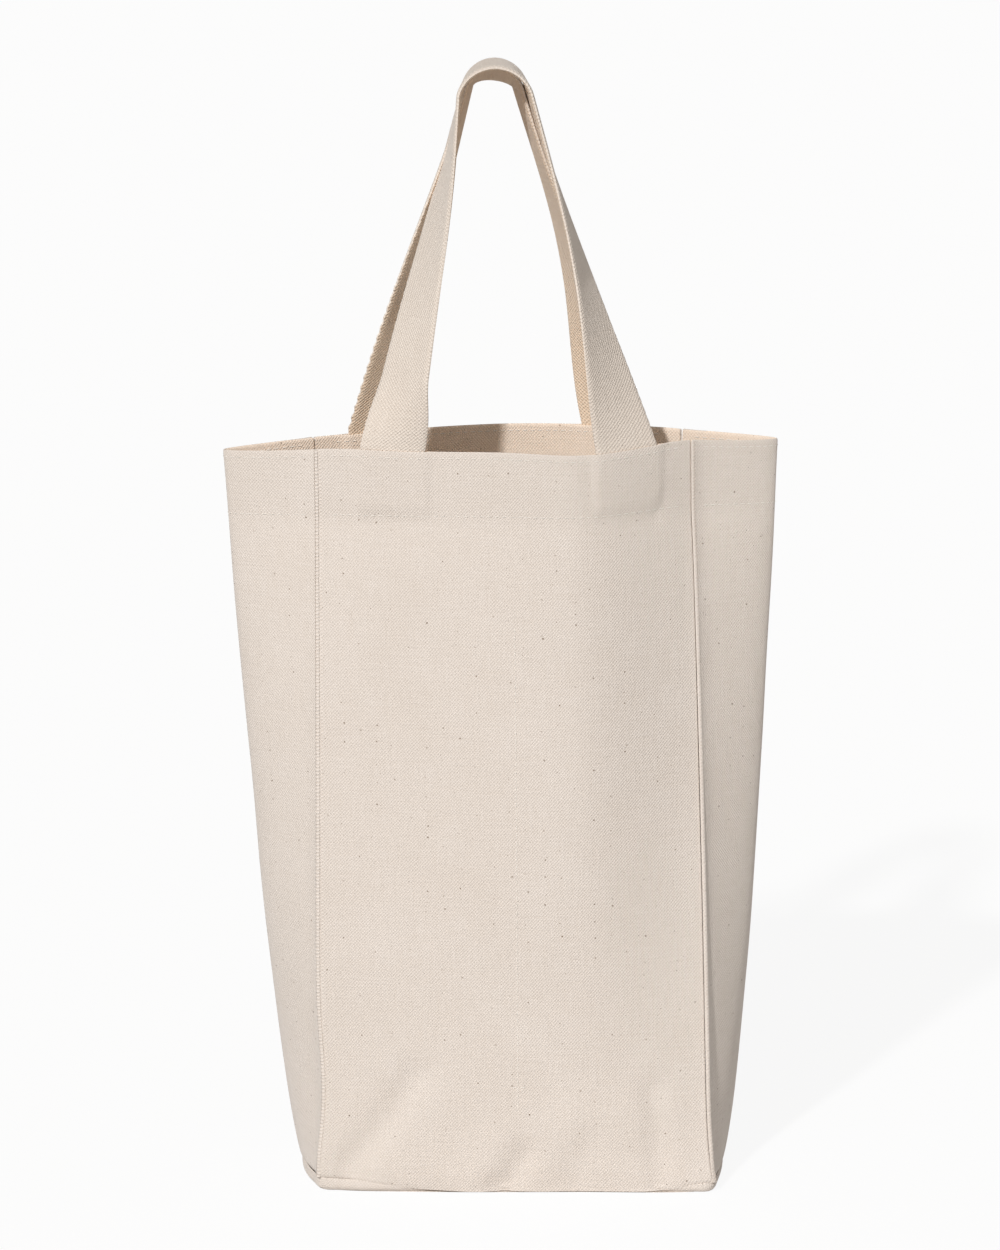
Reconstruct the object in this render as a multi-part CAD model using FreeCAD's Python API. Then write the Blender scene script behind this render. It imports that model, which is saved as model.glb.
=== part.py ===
# A sewn canvas carrier for two bottles: five cloth walls on a flat base, a divider between
# the bottles, a facing round the mouth and two webbing handles that are held up together.
# The frame is +Z up, +X to the right and the front towards -Y, with the origin on the floor
# under the middle of the bag.
import FreeCAD, Part
import math
import os

# Driving dimensions of the bag, in millimetres and degrees
front_width = 172.0
bag_depth = 90.0
bag_height = 337.0
cloth = 0.8
ply_gap = 0.3

# How the empty bag stands: the gussets fold out towards the mouth and draw the corners in
foot_fold_angle = 2.0
rim_fold_angle = 70.0
fold_power = 0.6
fold_radius = 3.0
belly = 2.0
rim_draw = 7.0
draw_power = 3

# Seams: the ridges along the corners, the base's turned-up lip and the facing of the mouth
welt_depth = 4.0
seam_gap = 0.5
base_lip = 4.5
base_bevel = 2.5
facing_depth = 32.0
facing_inset = 1.5

# Divider, sewn to the front and back by a folded edge
divider_bottom = 38.0
divider_top = 262.0
divider_flange = 9.0

# Handles: webbing whose ends are sewn in behind the facing
strap_width = 30.0
strap_thickness = 2.0
strap_offset = 53.0
strap_tuck = 27.0
handle_rise = 175.0
front_arch_radius = 18.0
arch_gap = 3.3
arch_offset = 10.0
twist_power = 2.5

# Sewing thread
thread = 0.6
thread_clearance = 0.15
rim_stitch_drop = 3.0
hem_stitch_drop = 29.0
seam_thread_width = 0.8

FRONT, BACK = -1, 1
LEFT, RIGHT = -1, 1
SIDE_NAMES = {FRONT: "front", BACK: "back"}
HAND_NAMES = {LEFT: "left", RIGHT: "right"}

foot_z = base_lip + ply_gap
hem_z = bag_height - facing_depth

# How finely the cloth's curves are cut into facets and the lofts into stations
wall_band_count = 11
panel_column_count = 16
gusset_column_count = 4
divider_step_count = 7
leg_step_count = 6
flatness = 1e-6


def unit(x, y):
    """The direction of a flat vector, as a pair of length 1."""
    length = math.hypot(x, y)
    return x / length, y / length


def along(start, direction, distance):
    """The flat point at a distance from start in a direction."""
    return start[0] + direction[0] * distance, start[1] + direction[1] * distance


def meet_lines(start, direction, other, other_direction):
    """The flat point where two lines cross."""
    cross = direction[0] * other_direction[1] - direction[1] * other_direction[0]
    gap = other[0] - start[0], other[1] - start[1]
    return along(start, direction, (gap[0] * other_direction[1] - gap[1] * other_direction[0]) / cross)


def meet_circle(start, direction, centre, radius):
    """The flat point where a line leaves a circle, going in its direction."""
    to_start = start[0] - centre[0], start[1] - centre[1]
    half = to_start[0] * direction[0] + to_start[1] * direction[1]
    rest = to_start[0] ** 2 + to_start[1] ** 2 - radius ** 2
    return along(start, direction, -half + math.sqrt(half ** 2 - rest))


class Outline:
    """The bag's horizontal outline at one height. Its flat points are those of the quarter with
    x and y positive, and place() mirrors them to the other corners."""

    def __init__(self, z):
        share = min(max(z - foot_z, 0.0) / (hem_z - foot_z), 1.0)
        foot, rim = math.sin(math.radians(foot_fold_angle)), math.sin(math.radians(rim_fold_angle))
        fold = math.asin(foot + (rim - foot) * share ** fold_power)
        half_gusset = bag_depth / 2 + fold_radius * (math.tan(fold) - fold)
        self.z = z
        self.fold = fold
        self.corner_y = half_gusset * math.cos(fold)
        self.middle_y = bag_depth / 2 + belly - (belly + rim_draw) * share ** draw_power
        sag = self.middle_y - self.corner_y
        self.corner_x = front_width / 2 - 4 * sag ** 2 / (3 * front_width)
        self.radius = (self.corner_x ** 2 + sag ** 2) / (2 * sag)
        self.centre = (0.0, self.middle_y - self.radius)
        self.corner = (self.corner_x, self.corner_y)
        self.apex_x = self.corner_x + half_gusset * math.sin(fold)
        self.gusset_way = (math.sin(fold), -math.cos(fold))
        self.gusset_out = (math.cos(fold), math.sin(fold))
        panel_turn = math.asin(self.corner_x / self.radius)
        panel_out = (math.sin(panel_turn), math.cos(panel_turn))
        self.welt_way = unit(panel_out[0] + self.gusset_out[0], panel_out[1] + self.gusset_out[1])
        self.to_panel = (-self.welt_way[1], self.welt_way[0])

    def place(self, point, hand=RIGHT, side=BACK):
        """A flat point of the quarter as a point of the bag's corner on that hand and side."""
        return FreeCAD.Vector(hand * point[0], side * point[1], self.z)

    def on_panel(self, distance, offset):
        """The flat point at a distance along the front or back cloth from its middle, offset outwards."""
        turn = distance / self.radius
        reach = self.radius + offset
        return reach * math.sin(turn), self.centre[1] + reach * math.cos(turn)

    def panel_run(self, end, offset):
        """Flat points along the front or back cloth, from the mirror image of an end to that end."""
        distance = self.radius * math.asin(end[0] / (self.radius + offset))
        return [self.on_panel(d, offset) for d in spread(-distance, distance, panel_column_count)]

    def seam_line(self, offset):
        """A line along the corner's welt, offset from the seam towards the front or back cloth."""
        return along(self.corner, self.to_panel, offset), self.welt_way

    def meet_panel(self, line, offset):
        """Where a line along the welt meets the front or back cloth, offset outwards."""
        return meet_circle(line[0], line[1], self.centre, self.radius + offset)

    def meet_gusset(self, line, offset):
        """Where a line along the welt meets the gusset's front or back half, offset outwards."""
        start = along(self.corner, self.gusset_out, offset)
        return meet_lines(line[0], line[1], start, self.gusset_way)

    def gusset_bend(self, offset):
        """The gusset's fold, offset outwards: where its flat half ends, and the tip of its curve."""
        radius = fold_radius + offset
        centre_x = self.apex_x - fold_radius / math.cos(self.fold)
        tangent = along((centre_x, 0.0), self.gusset_out, radius)
        return tangent, (centre_x + radius, 0.0)


def straight_run(start, end):
    """Flat points along the gusset's half, from one end to the other."""
    return [(start[0] + (end[0] - start[0]) * t, start[1] + (end[1] - start[1]) * t)
            for t in spread(0.0, 1.0, gusset_column_count)]


def line(start, end):
    return Part.LineSegment(start, end).toShape()


def arc(start, middle, end):
    return Part.Arc(start, middle, end).toShape()


def closed_polygon(points):
    return Part.makePolygon(points + points[:1])


def loft(wires):
    """A smooth closed solid through like wires, cubic so that it runs evenly between them."""
    return Part.makeLoft(wires, True, False, False, 3)


def spread(low, high, count, power=1):
    """Values from low to high in so many equal steps, closer near low where power is over 1."""
    return [low + (high - low) * (i / count) ** power for i in range(count + 1)]


def facets_between(lower, upper):
    """The faces of one band between two like polygons: flat quads, or pairs of triangles."""
    faces = []
    count = len(lower)
    for i in range(count):
        a, b = lower[i], lower[(i + 1) % count]
        c, d = upper[(i + 1) % count], upper[i]
        if abs((b - a).cross(c - a).dot(d - a)) < flatness:
            faces.append(Part.Face(closed_polygon([a, b, c, d])))
        else:
            faces.append(Part.Face(closed_polygon([a, b, c])))
            faces.append(Part.Face(closed_polygon([a, c, d])))
    return faces


def faceted(sections):
    """A solid of flat facets through like polygons, one above the other."""
    faces = [Part.Face(closed_polygon(sections[0])), Part.Face(closed_polygon(sections[-1]))]
    for lower, upper in zip(sections, sections[1:]):
        faces += facets_between(lower, upper)
    solid = Part.Solid(Part.Shell(faces))
    if solid.Volume < 0:
        solid.reverse()
    return solid


def panel_section(outline, side, with_welt):
    """The front or back cloth in one outline, with or without the welts along its edges."""
    seam = outline.seam_line(seam_gap / 2)
    face = outline.seam_line(seam_gap / 2 + cloth)
    inside = outline.meet_panel(seam, -cloth)
    if with_welt:
        seam_top = along(outline.corner, outline.welt_way, welt_depth)
        welt = [
            along(seam_top, outline.to_panel, seam_gap / 2),
            along(seam_top, outline.to_panel, seam_gap / 2 + cloth),
        ]
        outside = outline.meet_panel(face, 0.0)
    else:
        welt = []
        outside = outline.meet_panel(seam, 0.0)
    left_welt = [(-x, y) for x, y in welt[::-1]]
    flat = outline.panel_run(inside, -cloth) + welt + outline.panel_run(outside, 0.0)[::-1] + left_welt
    return [outline.place(p, RIGHT, side) for p in flat]


def gusset_section(outline, hand, with_welt):
    """A side gusset in one outline: two flat halves, the fold between them and the welts."""
    seam = outline.seam_line(-seam_gap / 2)
    face = outline.seam_line(-seam_gap / 2 - cloth)
    inside = outline.meet_gusset(seam, -cloth)
    if with_welt:
        seam_top = along(outline.corner, outline.welt_way, welt_depth)
        welt = [
            along(seam_top, outline.to_panel, -seam_gap / 2),
            along(seam_top, outline.to_panel, -seam_gap / 2 - cloth),
        ]
        outside = outline.meet_gusset(face, 0.0)
    else:
        welt = []
        outside = outline.meet_gusset(seam, 0.0)
    outer_bend, outer_tip = outline.gusset_bend(0.0)
    inner_bend, inner_tip = outline.gusset_bend(-cloth)
    quarter = straight_run(inner_bend, inside) + welt + straight_run(outside, outer_bend)
    back = [outline.place(p, hand, BACK) for p in quarter]
    front = [outline.place(p, hand, FRONT) for p in quarter]
    return back + [outline.place(outer_tip, hand)] + front[::-1] + [outline.place(inner_tip, hand)]


def upright(wire, height):
    """A solid straight up from a flat wire."""
    return Part.Face(wire).extrude(FreeCAD.Vector(0, 0, height))


def wall_heights():
    """The heights of a wall's bands: closer near the base, then the upright hem."""
    return spread(foot_z, hem_z, wall_band_count, 2) + [bag_height]


def wall(section_of, place):
    """A wall of the bag: cloth that spreads from the base up to the upright hem, and the edge
    tucked in behind the base's lip."""
    cloth_wall = faceted([section_of(Outline(z), place, True) for z in wall_heights()])
    tuck = faceted([section_of(Outline(z), place, False) for z in (base_bevel, foot_z)])
    return cloth_wall.fuse(tuck).removeSplitter().Solids[0]


def foot_face(offset, z):
    """The bag's footprint, offset outwards, as a flat face."""
    outline = Outline(foot_z)
    outline.z = z
    gusset_start = along(outline.corner, outline.gusset_out, offset)
    turn_in = (-outline.gusset_way[0], -outline.gusset_way[1])
    corner = meet_circle(gusset_start, turn_in, outline.centre, outline.radius + offset)
    tip = meet_lines(gusset_start, outline.gusset_way, (0.0, 0.0), (1.0, 0.0))
    middle = (0.0, outline.middle_y + offset)
    around = ((LEFT, FRONT), (RIGHT, FRONT), (RIGHT, BACK), (LEFT, BACK))
    corners = [outline.place(corner, hand, side) for hand, side in around]
    edges = [
        arc(corners[0], outline.place(middle, RIGHT, FRONT), corners[1]),
        line(corners[1], outline.place(tip, RIGHT)),
        line(outline.place(tip, RIGHT), corners[2]),
        arc(corners[2], outline.place(middle, RIGHT, BACK), corners[3]),
        line(corners[3], outline.place(tip, LEFT)),
        line(outline.place(tip, LEFT), corners[0]),
    ]
    return Part.Face(Part.Wire(edges))


def bevelled_foot(offset, bottom, top, bevel):
    """A block over the footprint whose bottom edge is bevelled."""
    block = foot_face(offset, bottom).extrude(FreeCAD.Vector(0, 0, top - bottom))
    edges = [e for e in block.Edges if max(v.Z for v in e.Vertexes) < bottom + bevel / 2]
    return block.makeChamfer(bevel, edges)


def base_panel():
    """The base cloth, turned up all round into a lip that the walls are sewn into."""
    outside = bevelled_foot(seam_gap + cloth, 0.0, base_lip, base_bevel)
    inside = bevelled_foot(seam_gap, cloth, base_lip + cloth, base_bevel - cloth / 2)
    return outside.cut(inside).Solids[0]


def base_thread():
    """The thread of the base's seam, all round between the lip and the walls."""
    bottom = base_bevel + cloth
    ring = foot_face(seam_gap - thread_clearance, bottom).cut(foot_face(thread_clearance, bottom))
    return ring.extrude(FreeCAD.Vector(0, 0, seam_thread_width)).Solids[0]


def strip_wire(outline, side, outer_runs, inner_runs):
    """A strip of cloth along the front or back. Each run is (start, end, offset) along the cloth."""

    def chain(runs):
        edges = []
        points = []
        for start, end, offset in runs:
            stops = (start, (start + end) / 2, end)
            ends = [outline.place(outline.on_panel(stop, offset), RIGHT, side) for stop in stops]
            if points:
                edges.append(line(points[-1], ends[0]))
            edges.append(arc(*ends))
            points += [ends[0], ends[2]]
        return edges, points

    outer, outer_points = chain(outer_runs)
    inner, inner_points = chain(inner_runs)
    closing = [line(outer_points[-1], inner_points[-1]), line(inner_points[0], outer_points[0])]
    return Part.Wire(Part.sortEdges(outer + closing + inner)[0])


def panel_facing(side):
    """The facing of the front or back: flat on the cloth, and raised over the two strap ends."""
    flat = -cloth - ply_gap
    raised = flat - strap_thickness - ply_gap
    near = strap_offset - strap_width / 2 - ply_gap
    far = strap_offset + strap_width / 2 + ply_gap
    outline = Outline(hem_z)
    inside = outline.meet_panel(outline.seam_line(seam_gap / 2), -cloth)
    end = outline.radius * math.asin(inside[0] / outline.radius) - facing_inset
    outer = [
        (-end, -far, flat),
        (-far, -near, raised),
        (-near, near, flat),
        (near, far, raised),
        (far, end, flat),
    ]
    inner = [
        (-end, -far - cloth, flat - cloth),
        (-far - cloth, -near + cloth, raised - cloth),
        (-near + cloth, near - cloth, flat - cloth),
        (near - cloth, far + cloth, raised - cloth),
        (far + cloth, end, flat - cloth),
    ]
    return upright(strip_wire(outline, side, outer, inner), facing_depth)


def gusset_strip(outline, hand, start, outer_offset, inner_offset):
    """A strip round a gusset from a point of its quarter, between two offsets from the outer face."""
    outer_bend, outer_tip = outline.gusset_bend(outer_offset)
    inner_bend, inner_tip = outline.gusset_bend(inner_offset)
    outer = along(start, outline.gusset_out, outer_offset)
    inner = along(start, outline.gusset_out, inner_offset)
    quarter = (inner_bend, inner, outer, outer_bend)
    back = [outline.place(p, hand, BACK) for p in quarter]
    front = [outline.place(p, hand, FRONT) for p in quarter]
    tips = outline.place(outer_tip, hand), outline.place(inner_tip, hand)
    return closed_polygon(back + [tips[0]] + front[::-1] + [tips[1]])


def gusset_facing(hand):
    """The facing of a gusset, flat on the inside of its two halves and round its fold."""
    outline = Outline(hem_z)
    seam = outline.meet_gusset(outline.seam_line(-seam_gap / 2), 0.0)
    start = along(seam, outline.gusset_way, facing_inset + cloth)
    strip = gusset_strip(outline, hand, start, -cloth - ply_gap, -2 * cloth - ply_gap)
    return upright(strip, facing_depth)


def divider_wire(outline):
    """The divider in one outline: a web across the bag, with an edge folded along each panel."""
    face = -cloth - ply_gap
    inner = face - cloth

    def panel_point(distance, offset, side):
        return outline.place(outline.on_panel(distance, offset), side * LEFT, side)

    edges = []
    for side in (FRONT, BACK):
        near = -cloth / 2
        outer = [panel_point(d, face, side) for d in (near, divider_flange / 2, divider_flange)]
        fold = [panel_point(d, inner, side) for d in (-near, divider_flange / 2, divider_flange)]
        edges += [arc(*outer), line(outer[2], fold[2]), arc(fold[2], fold[1], fold[0])]
        edges.append(line(outer[0], panel_point(-near, inner, -side)))
    return Part.Wire(Part.sortEdges(edges)[0])


def divider_panel():
    return loft([divider_wire(Outline(z)) for z in spread(divider_bottom, divider_top, divider_step_count)])


def strap_ends(side):
    """The two ends of a handle's webbing, between the front or back cloth and its facing."""
    outline = Outline(bag_height)
    outline.z = bag_height - strap_tuck
    flat = -cloth - ply_gap
    ends = []
    for hand in (LEFT, RIGHT):
        near = hand * strap_offset - strap_width / 2
        far = hand * strap_offset + strap_width / 2
        end_wire = strip_wire(outline, side, [(near, far, flat)], [(near, far, flat - strap_thickness)])
        ends.append(upright(end_wire, strap_tuck))
    return Part.makeCompound(ends)


def strap_wire(centre, width_way, face_way):
    """The webbing's cross-section about a point."""
    half_width, half_face = width_way * (strap_width / 2), face_way * (strap_thickness / 2)
    corners = [centre + half_width + half_face, centre - half_width + half_face]
    corners += [centre - half_width - half_face, centre + half_width - half_face]
    return closed_polygon(corners)


def handle_strap(side, arch_radius, rise):
    """A handle: two legs that lean in and twist as they rise, and the arch that joins them."""
    rim = Outline(bag_height)
    foot = rim.on_panel(strap_offset, -cloth - ply_gap - strap_thickness / 2)
    foot_turn = strap_offset / rim.radius
    arch_rise = rise - arch_radius
    reach = math.hypot(foot[0], arch_rise)
    arch_start = math.atan2(-arch_rise, foot[0]) + math.acos(arch_radius / reach)
    leg_top = arch_radius * math.cos(arch_start), arch_rise + arch_radius * math.sin(arch_start)

    def leg_section(share, hand):
        low = ply_gap
        height = low + (leg_top[1] - low) * share
        x = foot[0] + (leg_top[0] - foot[0]) * height / leg_top[1]
        lean = (1 - math.cos(math.pi * share)) / 2
        y = foot[1] + (arch_offset - foot[1]) * lean
        turn = math.pi / 2 - (math.pi / 2 - foot_turn) * (1 - share) ** twist_power
        tilt = arch_start * share ** 2
        width_way = FreeCAD.Vector(hand * math.cos(turn), -side * math.sin(turn), 0)
        face_way = FreeCAD.Vector(hand * math.sin(turn), side * math.cos(turn), math.tan(tilt)).normalize()
        return strap_wire(FreeCAD.Vector(hand * x, side * y, bag_height + height), width_way, face_way)

    def leg(hand):
        return loft([leg_section(share, hand) for share in spread(0.0, 1.0, leg_step_count)])

    out = FreeCAD.Vector(math.cos(arch_start), 0, math.sin(arch_start))
    arch_centre = FreeCAD.Vector(0, side * arch_offset, bag_height + arch_rise)
    arch_face = Part.Face(strap_wire(arch_centre + out * arch_radius, FreeCAD.Vector(0, -side, 0), out))
    sweep = 180 - 2 * math.degrees(arch_start)
    arch = arch_face.revolve(arch_centre, FreeCAD.Vector(0, -1, 0), sweep)
    return arch.fuse([leg(LEFT), leg(RIGHT)]).removeSplitter().Solids[0]


def panel_row(side, drop):
    """The thread of a row of stitches across the front or back, at a drop below the rim."""
    outline = Outline(bag_height - drop)
    outline.z -= thread / 2
    seam = outline.meet_panel(outline.seam_line(seam_gap / 2 + cloth), 0.0)
    end = outline.radius * math.asin(seam[0] / outline.radius) - facing_inset
    outer, inner = [(-end, end, thread_clearance + thread)], [(-end, end, thread_clearance)]
    return upright(strip_wire(outline, side, outer, inner), thread)


def gusset_row(hand, drop):
    """The thread of a row of stitches round a gusset, at a drop below the rim."""
    outline = Outline(bag_height - drop)
    outline.z -= thread / 2
    seam = outline.meet_gusset(outline.seam_line(-seam_gap / 2 - cloth), 0.0)
    start = along(seam, outline.gusset_way, facing_inset)
    strip = gusset_strip(outline, hand, start, thread_clearance + thread, thread_clearance)
    return upright(strip, thread)


def divider_row(side):
    """The thread of the stitches down the front or back, through the divider's folded edge."""

    def section(z):
        outline = Outline(z)
        middle = divider_flange / 2
        flat = [
            outline.on_panel(middle - thread / 2, thread_clearance),
            outline.on_panel(middle + thread / 2, thread_clearance),
            outline.on_panel(middle + thread / 2, thread_clearance + thread),
            outline.on_panel(middle - thread / 2, thread_clearance + thread),
        ]
        return closed_polygon([outline.place(p, side * LEFT, side) for p in flat])

    return loft([section(z) for z in spread(divider_bottom, divider_top, divider_step_count)])


def corner_thread(hand, side):
    """The thread of a corner's seam, between the two plies of its welt."""
    half = seam_gap / 2 - thread_clearance

    def section(z):
        outline = Outline(z)
        low = along(outline.corner, outline.welt_way, welt_depth / 2 - seam_thread_width / 2)
        high = along(outline.corner, outline.welt_way, welt_depth / 2 + seam_thread_width / 2)
        flat = [
            along(low, outline.to_panel, -half),
            along(high, outline.to_panel, -half),
            along(high, outline.to_panel, half),
            along(low, outline.to_panel, half),
        ]
        return [outline.place(p, hand, side) for p in flat]

    return faceted([section(z) for z in wall_heights()])


def build():
    """Every piece of the carrier by its name."""
    pieces = {
        "base_panel": base_panel(),
        "base_seam_thread": base_thread(),
        "divider_panel": divider_panel(),
    }
    arches = {FRONT: (front_arch_radius, handle_rise)}
    nested = strap_thickness + arch_gap
    arches[BACK] = (front_arch_radius - nested, handle_rise - nested)
    for side, name in SIDE_NAMES.items():
        pieces[name + "_panel"] = wall(panel_section, side)
        pieces[name + "_facing"] = panel_facing(side)
        pieces[name + "_handle_strap"] = handle_strap(side, *arches[side])
        pieces[name + "_handle_strap_ends"] = strap_ends(side)
        pieces[name + "_rim_stitches"] = panel_row(side, rim_stitch_drop)
        pieces[name + "_hem_stitches"] = panel_row(side, hem_stitch_drop)
        pieces[name + "_divider_stitches"] = divider_row(side)
    for hand, name in HAND_NAMES.items():
        pieces[name + "_gusset"] = wall(gusset_section, hand)
        pieces[name + "_facing"] = gusset_facing(hand)
        pieces[name + "_rim_stitches"] = gusset_row(hand, rim_stitch_drop)
        pieces[name + "_hem_stitches"] = gusset_row(hand, hem_stitch_drop)
    for side, side_name in SIDE_NAMES.items():
        for hand, hand_name in HAND_NAMES.items():
            pieces[f"{side_name}_{hand_name}_seam_thread"] = corner_thread(hand, side)
    return pieces


def main():
    os.makedirs("parts", exist_ok=True)
    for name, shape in build().items():
        shape.exportStep(f"parts/{name}.step")
        print(f"{name}: {len(shape.Solids)} solids, {shape.Volume / 1000:.2f} cm3, valid {shape.isValid()}")


main()
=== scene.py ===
"""The looks of a sewn canvas bottle carrier: cloth walls on a flat base, a divider, faced mouth
and two webbing handles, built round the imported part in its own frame."""
import logging
import math
from dataclasses import dataclass, field, replace
from enum import Enum
from typing import Callable

import bmesh
import bpy
import numpy as np
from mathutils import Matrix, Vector, noise


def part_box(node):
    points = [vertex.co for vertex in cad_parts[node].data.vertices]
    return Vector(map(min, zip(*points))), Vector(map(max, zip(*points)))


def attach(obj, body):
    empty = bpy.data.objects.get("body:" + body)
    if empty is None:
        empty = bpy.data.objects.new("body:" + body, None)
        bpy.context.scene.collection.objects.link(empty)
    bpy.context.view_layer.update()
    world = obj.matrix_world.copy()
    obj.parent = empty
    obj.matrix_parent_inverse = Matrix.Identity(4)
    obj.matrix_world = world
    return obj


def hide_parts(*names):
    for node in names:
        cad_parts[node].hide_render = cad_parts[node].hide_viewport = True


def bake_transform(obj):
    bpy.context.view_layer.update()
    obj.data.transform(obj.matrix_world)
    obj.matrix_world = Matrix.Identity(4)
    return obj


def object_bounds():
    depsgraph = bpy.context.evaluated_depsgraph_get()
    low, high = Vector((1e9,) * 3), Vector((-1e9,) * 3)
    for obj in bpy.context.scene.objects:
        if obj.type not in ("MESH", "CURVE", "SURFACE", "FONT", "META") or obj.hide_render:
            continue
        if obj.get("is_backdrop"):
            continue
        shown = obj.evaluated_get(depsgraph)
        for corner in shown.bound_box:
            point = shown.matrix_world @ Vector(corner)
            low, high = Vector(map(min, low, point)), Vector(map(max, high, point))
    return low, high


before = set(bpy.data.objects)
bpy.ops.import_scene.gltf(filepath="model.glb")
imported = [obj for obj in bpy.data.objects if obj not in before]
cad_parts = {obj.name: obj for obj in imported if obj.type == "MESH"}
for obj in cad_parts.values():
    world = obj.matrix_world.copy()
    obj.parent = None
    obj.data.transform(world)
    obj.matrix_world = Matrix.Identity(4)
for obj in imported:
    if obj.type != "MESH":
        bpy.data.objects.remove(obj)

MM = 0.001
CAD_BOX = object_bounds()
LOG = logging.getLogger("bottle_carrier")
BAG_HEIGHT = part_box("front_panel")[1].z / MM
DIVIDER_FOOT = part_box("divider_panel")[0].z / MM
DIVIDER_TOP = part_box("divider_panel")[1].z / MM
SHARP_ANGLE = 55.0
# Where the front cloth's fall over the base's seam starts, is full, starts to end and ends, across the front
FRONT_OVERHANG = (-95.0, -12.0, 56.0, 92.0)
# How far the front left corner's welt still stands where it is pressed flat
PRESSED = 0.2


class Wall(Enum):
    """A wall of the bag, by the sign of the axis that it faces."""

    @property
    def word(self) -> str:
        """The wall's word in the names of pieces."""
        return self.name.lower()


class Side(Wall):
    """The front or back of the bag, by the sign of its y."""

    FRONT = -1
    BACK = 1


class Hand(Wall):
    """The left or right of the bag, by the sign of its x."""

    LEFT = -1
    RIGHT = 1


def smooth(low: float, high: float, value: np.ndarray) -> np.ndarray:
    """A smooth step of a value.

    Args:
        low: Where the step starts, at 0.
        high: Where the step ends, at 1.
        value: The values to step.

    Returns:
        The step's height for each value.
    """
    share = np.clip((np.asarray(value, float) - low) / (high - low), 0, 1)
    return share * share * (3 - 2 * share)


def unit(vectors: np.ndarray) -> np.ndarray:
    """Vectors scaled to length 1 along their last axis."""
    length = np.linalg.norm(vectors, axis=-1, keepdims=True)
    return vectors / np.maximum(length, 1e-9)


def soft_noise(points: np.ndarray, wave: float, seed: float) -> np.ndarray:
    """Smooth noise at points.

    Args:
        points: Places in millimetres, three numbers along the last axis.
        wave: The noise's wavelength in millimetres.
        seed: An offset that gives each piece its own noise.

    Returns:
        A value from about -1 to 1 for each point.
    """
    flat = points.reshape(-1, 3) / wave
    values = [noise.noise(Vector((x + seed, y - seed, z + 2 * seed))) for x, y, z in flat]
    return np.array(values).reshape(points.shape[:-1])


@dataclass(frozen=True)
class Nudge:
    """A push on all the cloth near a place, in millimetres."""

    centre: tuple[float, float, float]
    reach: tuple[float, float, float]
    move: tuple[float, float, float]

    def shift(self, points: np.ndarray) -> np.ndarray:
        """How far the push moves each point."""
        away = (points - np.array(self.centre)) / np.array(self.reach)
        near = np.exp(-np.sum(away ** 2, axis=-1, keepdims=True))
        return near * np.array(self.move)


@dataclass(frozen=True)
class Stance:
    """How this bag stands: it leans, turns a little between base and rim, and its rim dips at the folds.

    Lengths are in millimetres and angles in degrees. The rim's line gives its rise at places across it.
    """

    height: float = BAG_HEIGHT
    foot_lean: float = 2.2
    rim_lean: float = -2.9
    top_lean: float = -7.2
    top_rise: float = 176.0
    foot_turn: float = -2.0
    rim_turn: float = 2.5
    rim_line: tuple[tuple[float, float], ...] = ((-124, -1.8), (-83, 0.0), (0, 1.3), (75, 1.2), (124, -0.9))
    rim_reach: float = 130.0
    nudges: tuple[Nudge, ...] = (
        Nudge((-86, -43, 46), (30, 30, 30), (2.6, 0.6, 0.0)),
        Nudge((34, -37, 337), (28, 34, 34), (0.0, 0.0, -2.0)),
        Nudge((-76, -28, 337), (22, 22, 22), (0.0, 0.0, 1.2)),
        Nudge((86, -26, 337), (16, 16, 16), (0.0, 0.0, 1.2)),
        Nudge((90, -34, 195), (42, 45, 150), (0.0, 8.0, 0.0)),
        Nudge((78, -46, 0), (34, 24, 22), (0.4, -4.8, 0.0)),
        Nudge((-90, -44, 0), (13, 16, 12), (1.7, 1.7, 0.0)),
    )

    def lean(self, z: np.ndarray) -> np.ndarray:
        """How far the middle of the bag lies to the right at a height."""
        stops = (0.0, self.height, self.height + self.top_rise)
        return np.interp(z, stops, (self.foot_lean, self.rim_lean, self.top_lean))

    def turn(self, z: np.ndarray) -> np.ndarray:
        """How far the bag is turned at a height, in radians."""
        return np.radians(np.interp(z, (0.0, self.height), (self.foot_turn, self.rim_turn)))

    def place(self, points: np.ndarray) -> np.ndarray:
        """Points of the upright bag moved to where they stand."""
        points = np.asarray(points, float)
        x, y, z = np.moveaxis(points, -1, 0)
        cos, sin = np.cos(self.turn(z)), np.sin(self.turn(z))
        places, rises = zip(*self.rim_line)
        lift = np.interp(x, places, rises) * smooth(self.height - self.rim_reach, self.height, z)
        placed = np.stack([x * cos - y * sin + self.lean(z), x * sin + y * cos, z + lift], -1)
        return placed + sum(nudge.shift(points) for nudge in self.nudges)

    def swing(self, directions: np.ndarray, z: np.ndarray) -> np.ndarray:
        """Directions of the upright bag turned as the bag is at a height."""
        x, y, up = np.moveaxis(np.asarray(directions, float), -1, 0)
        cos, sin = np.cos(self.turn(z)), np.sin(self.turn(z))
        return np.stack([x * cos - y * sin, x * sin + y * cos, up], -1)


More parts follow.
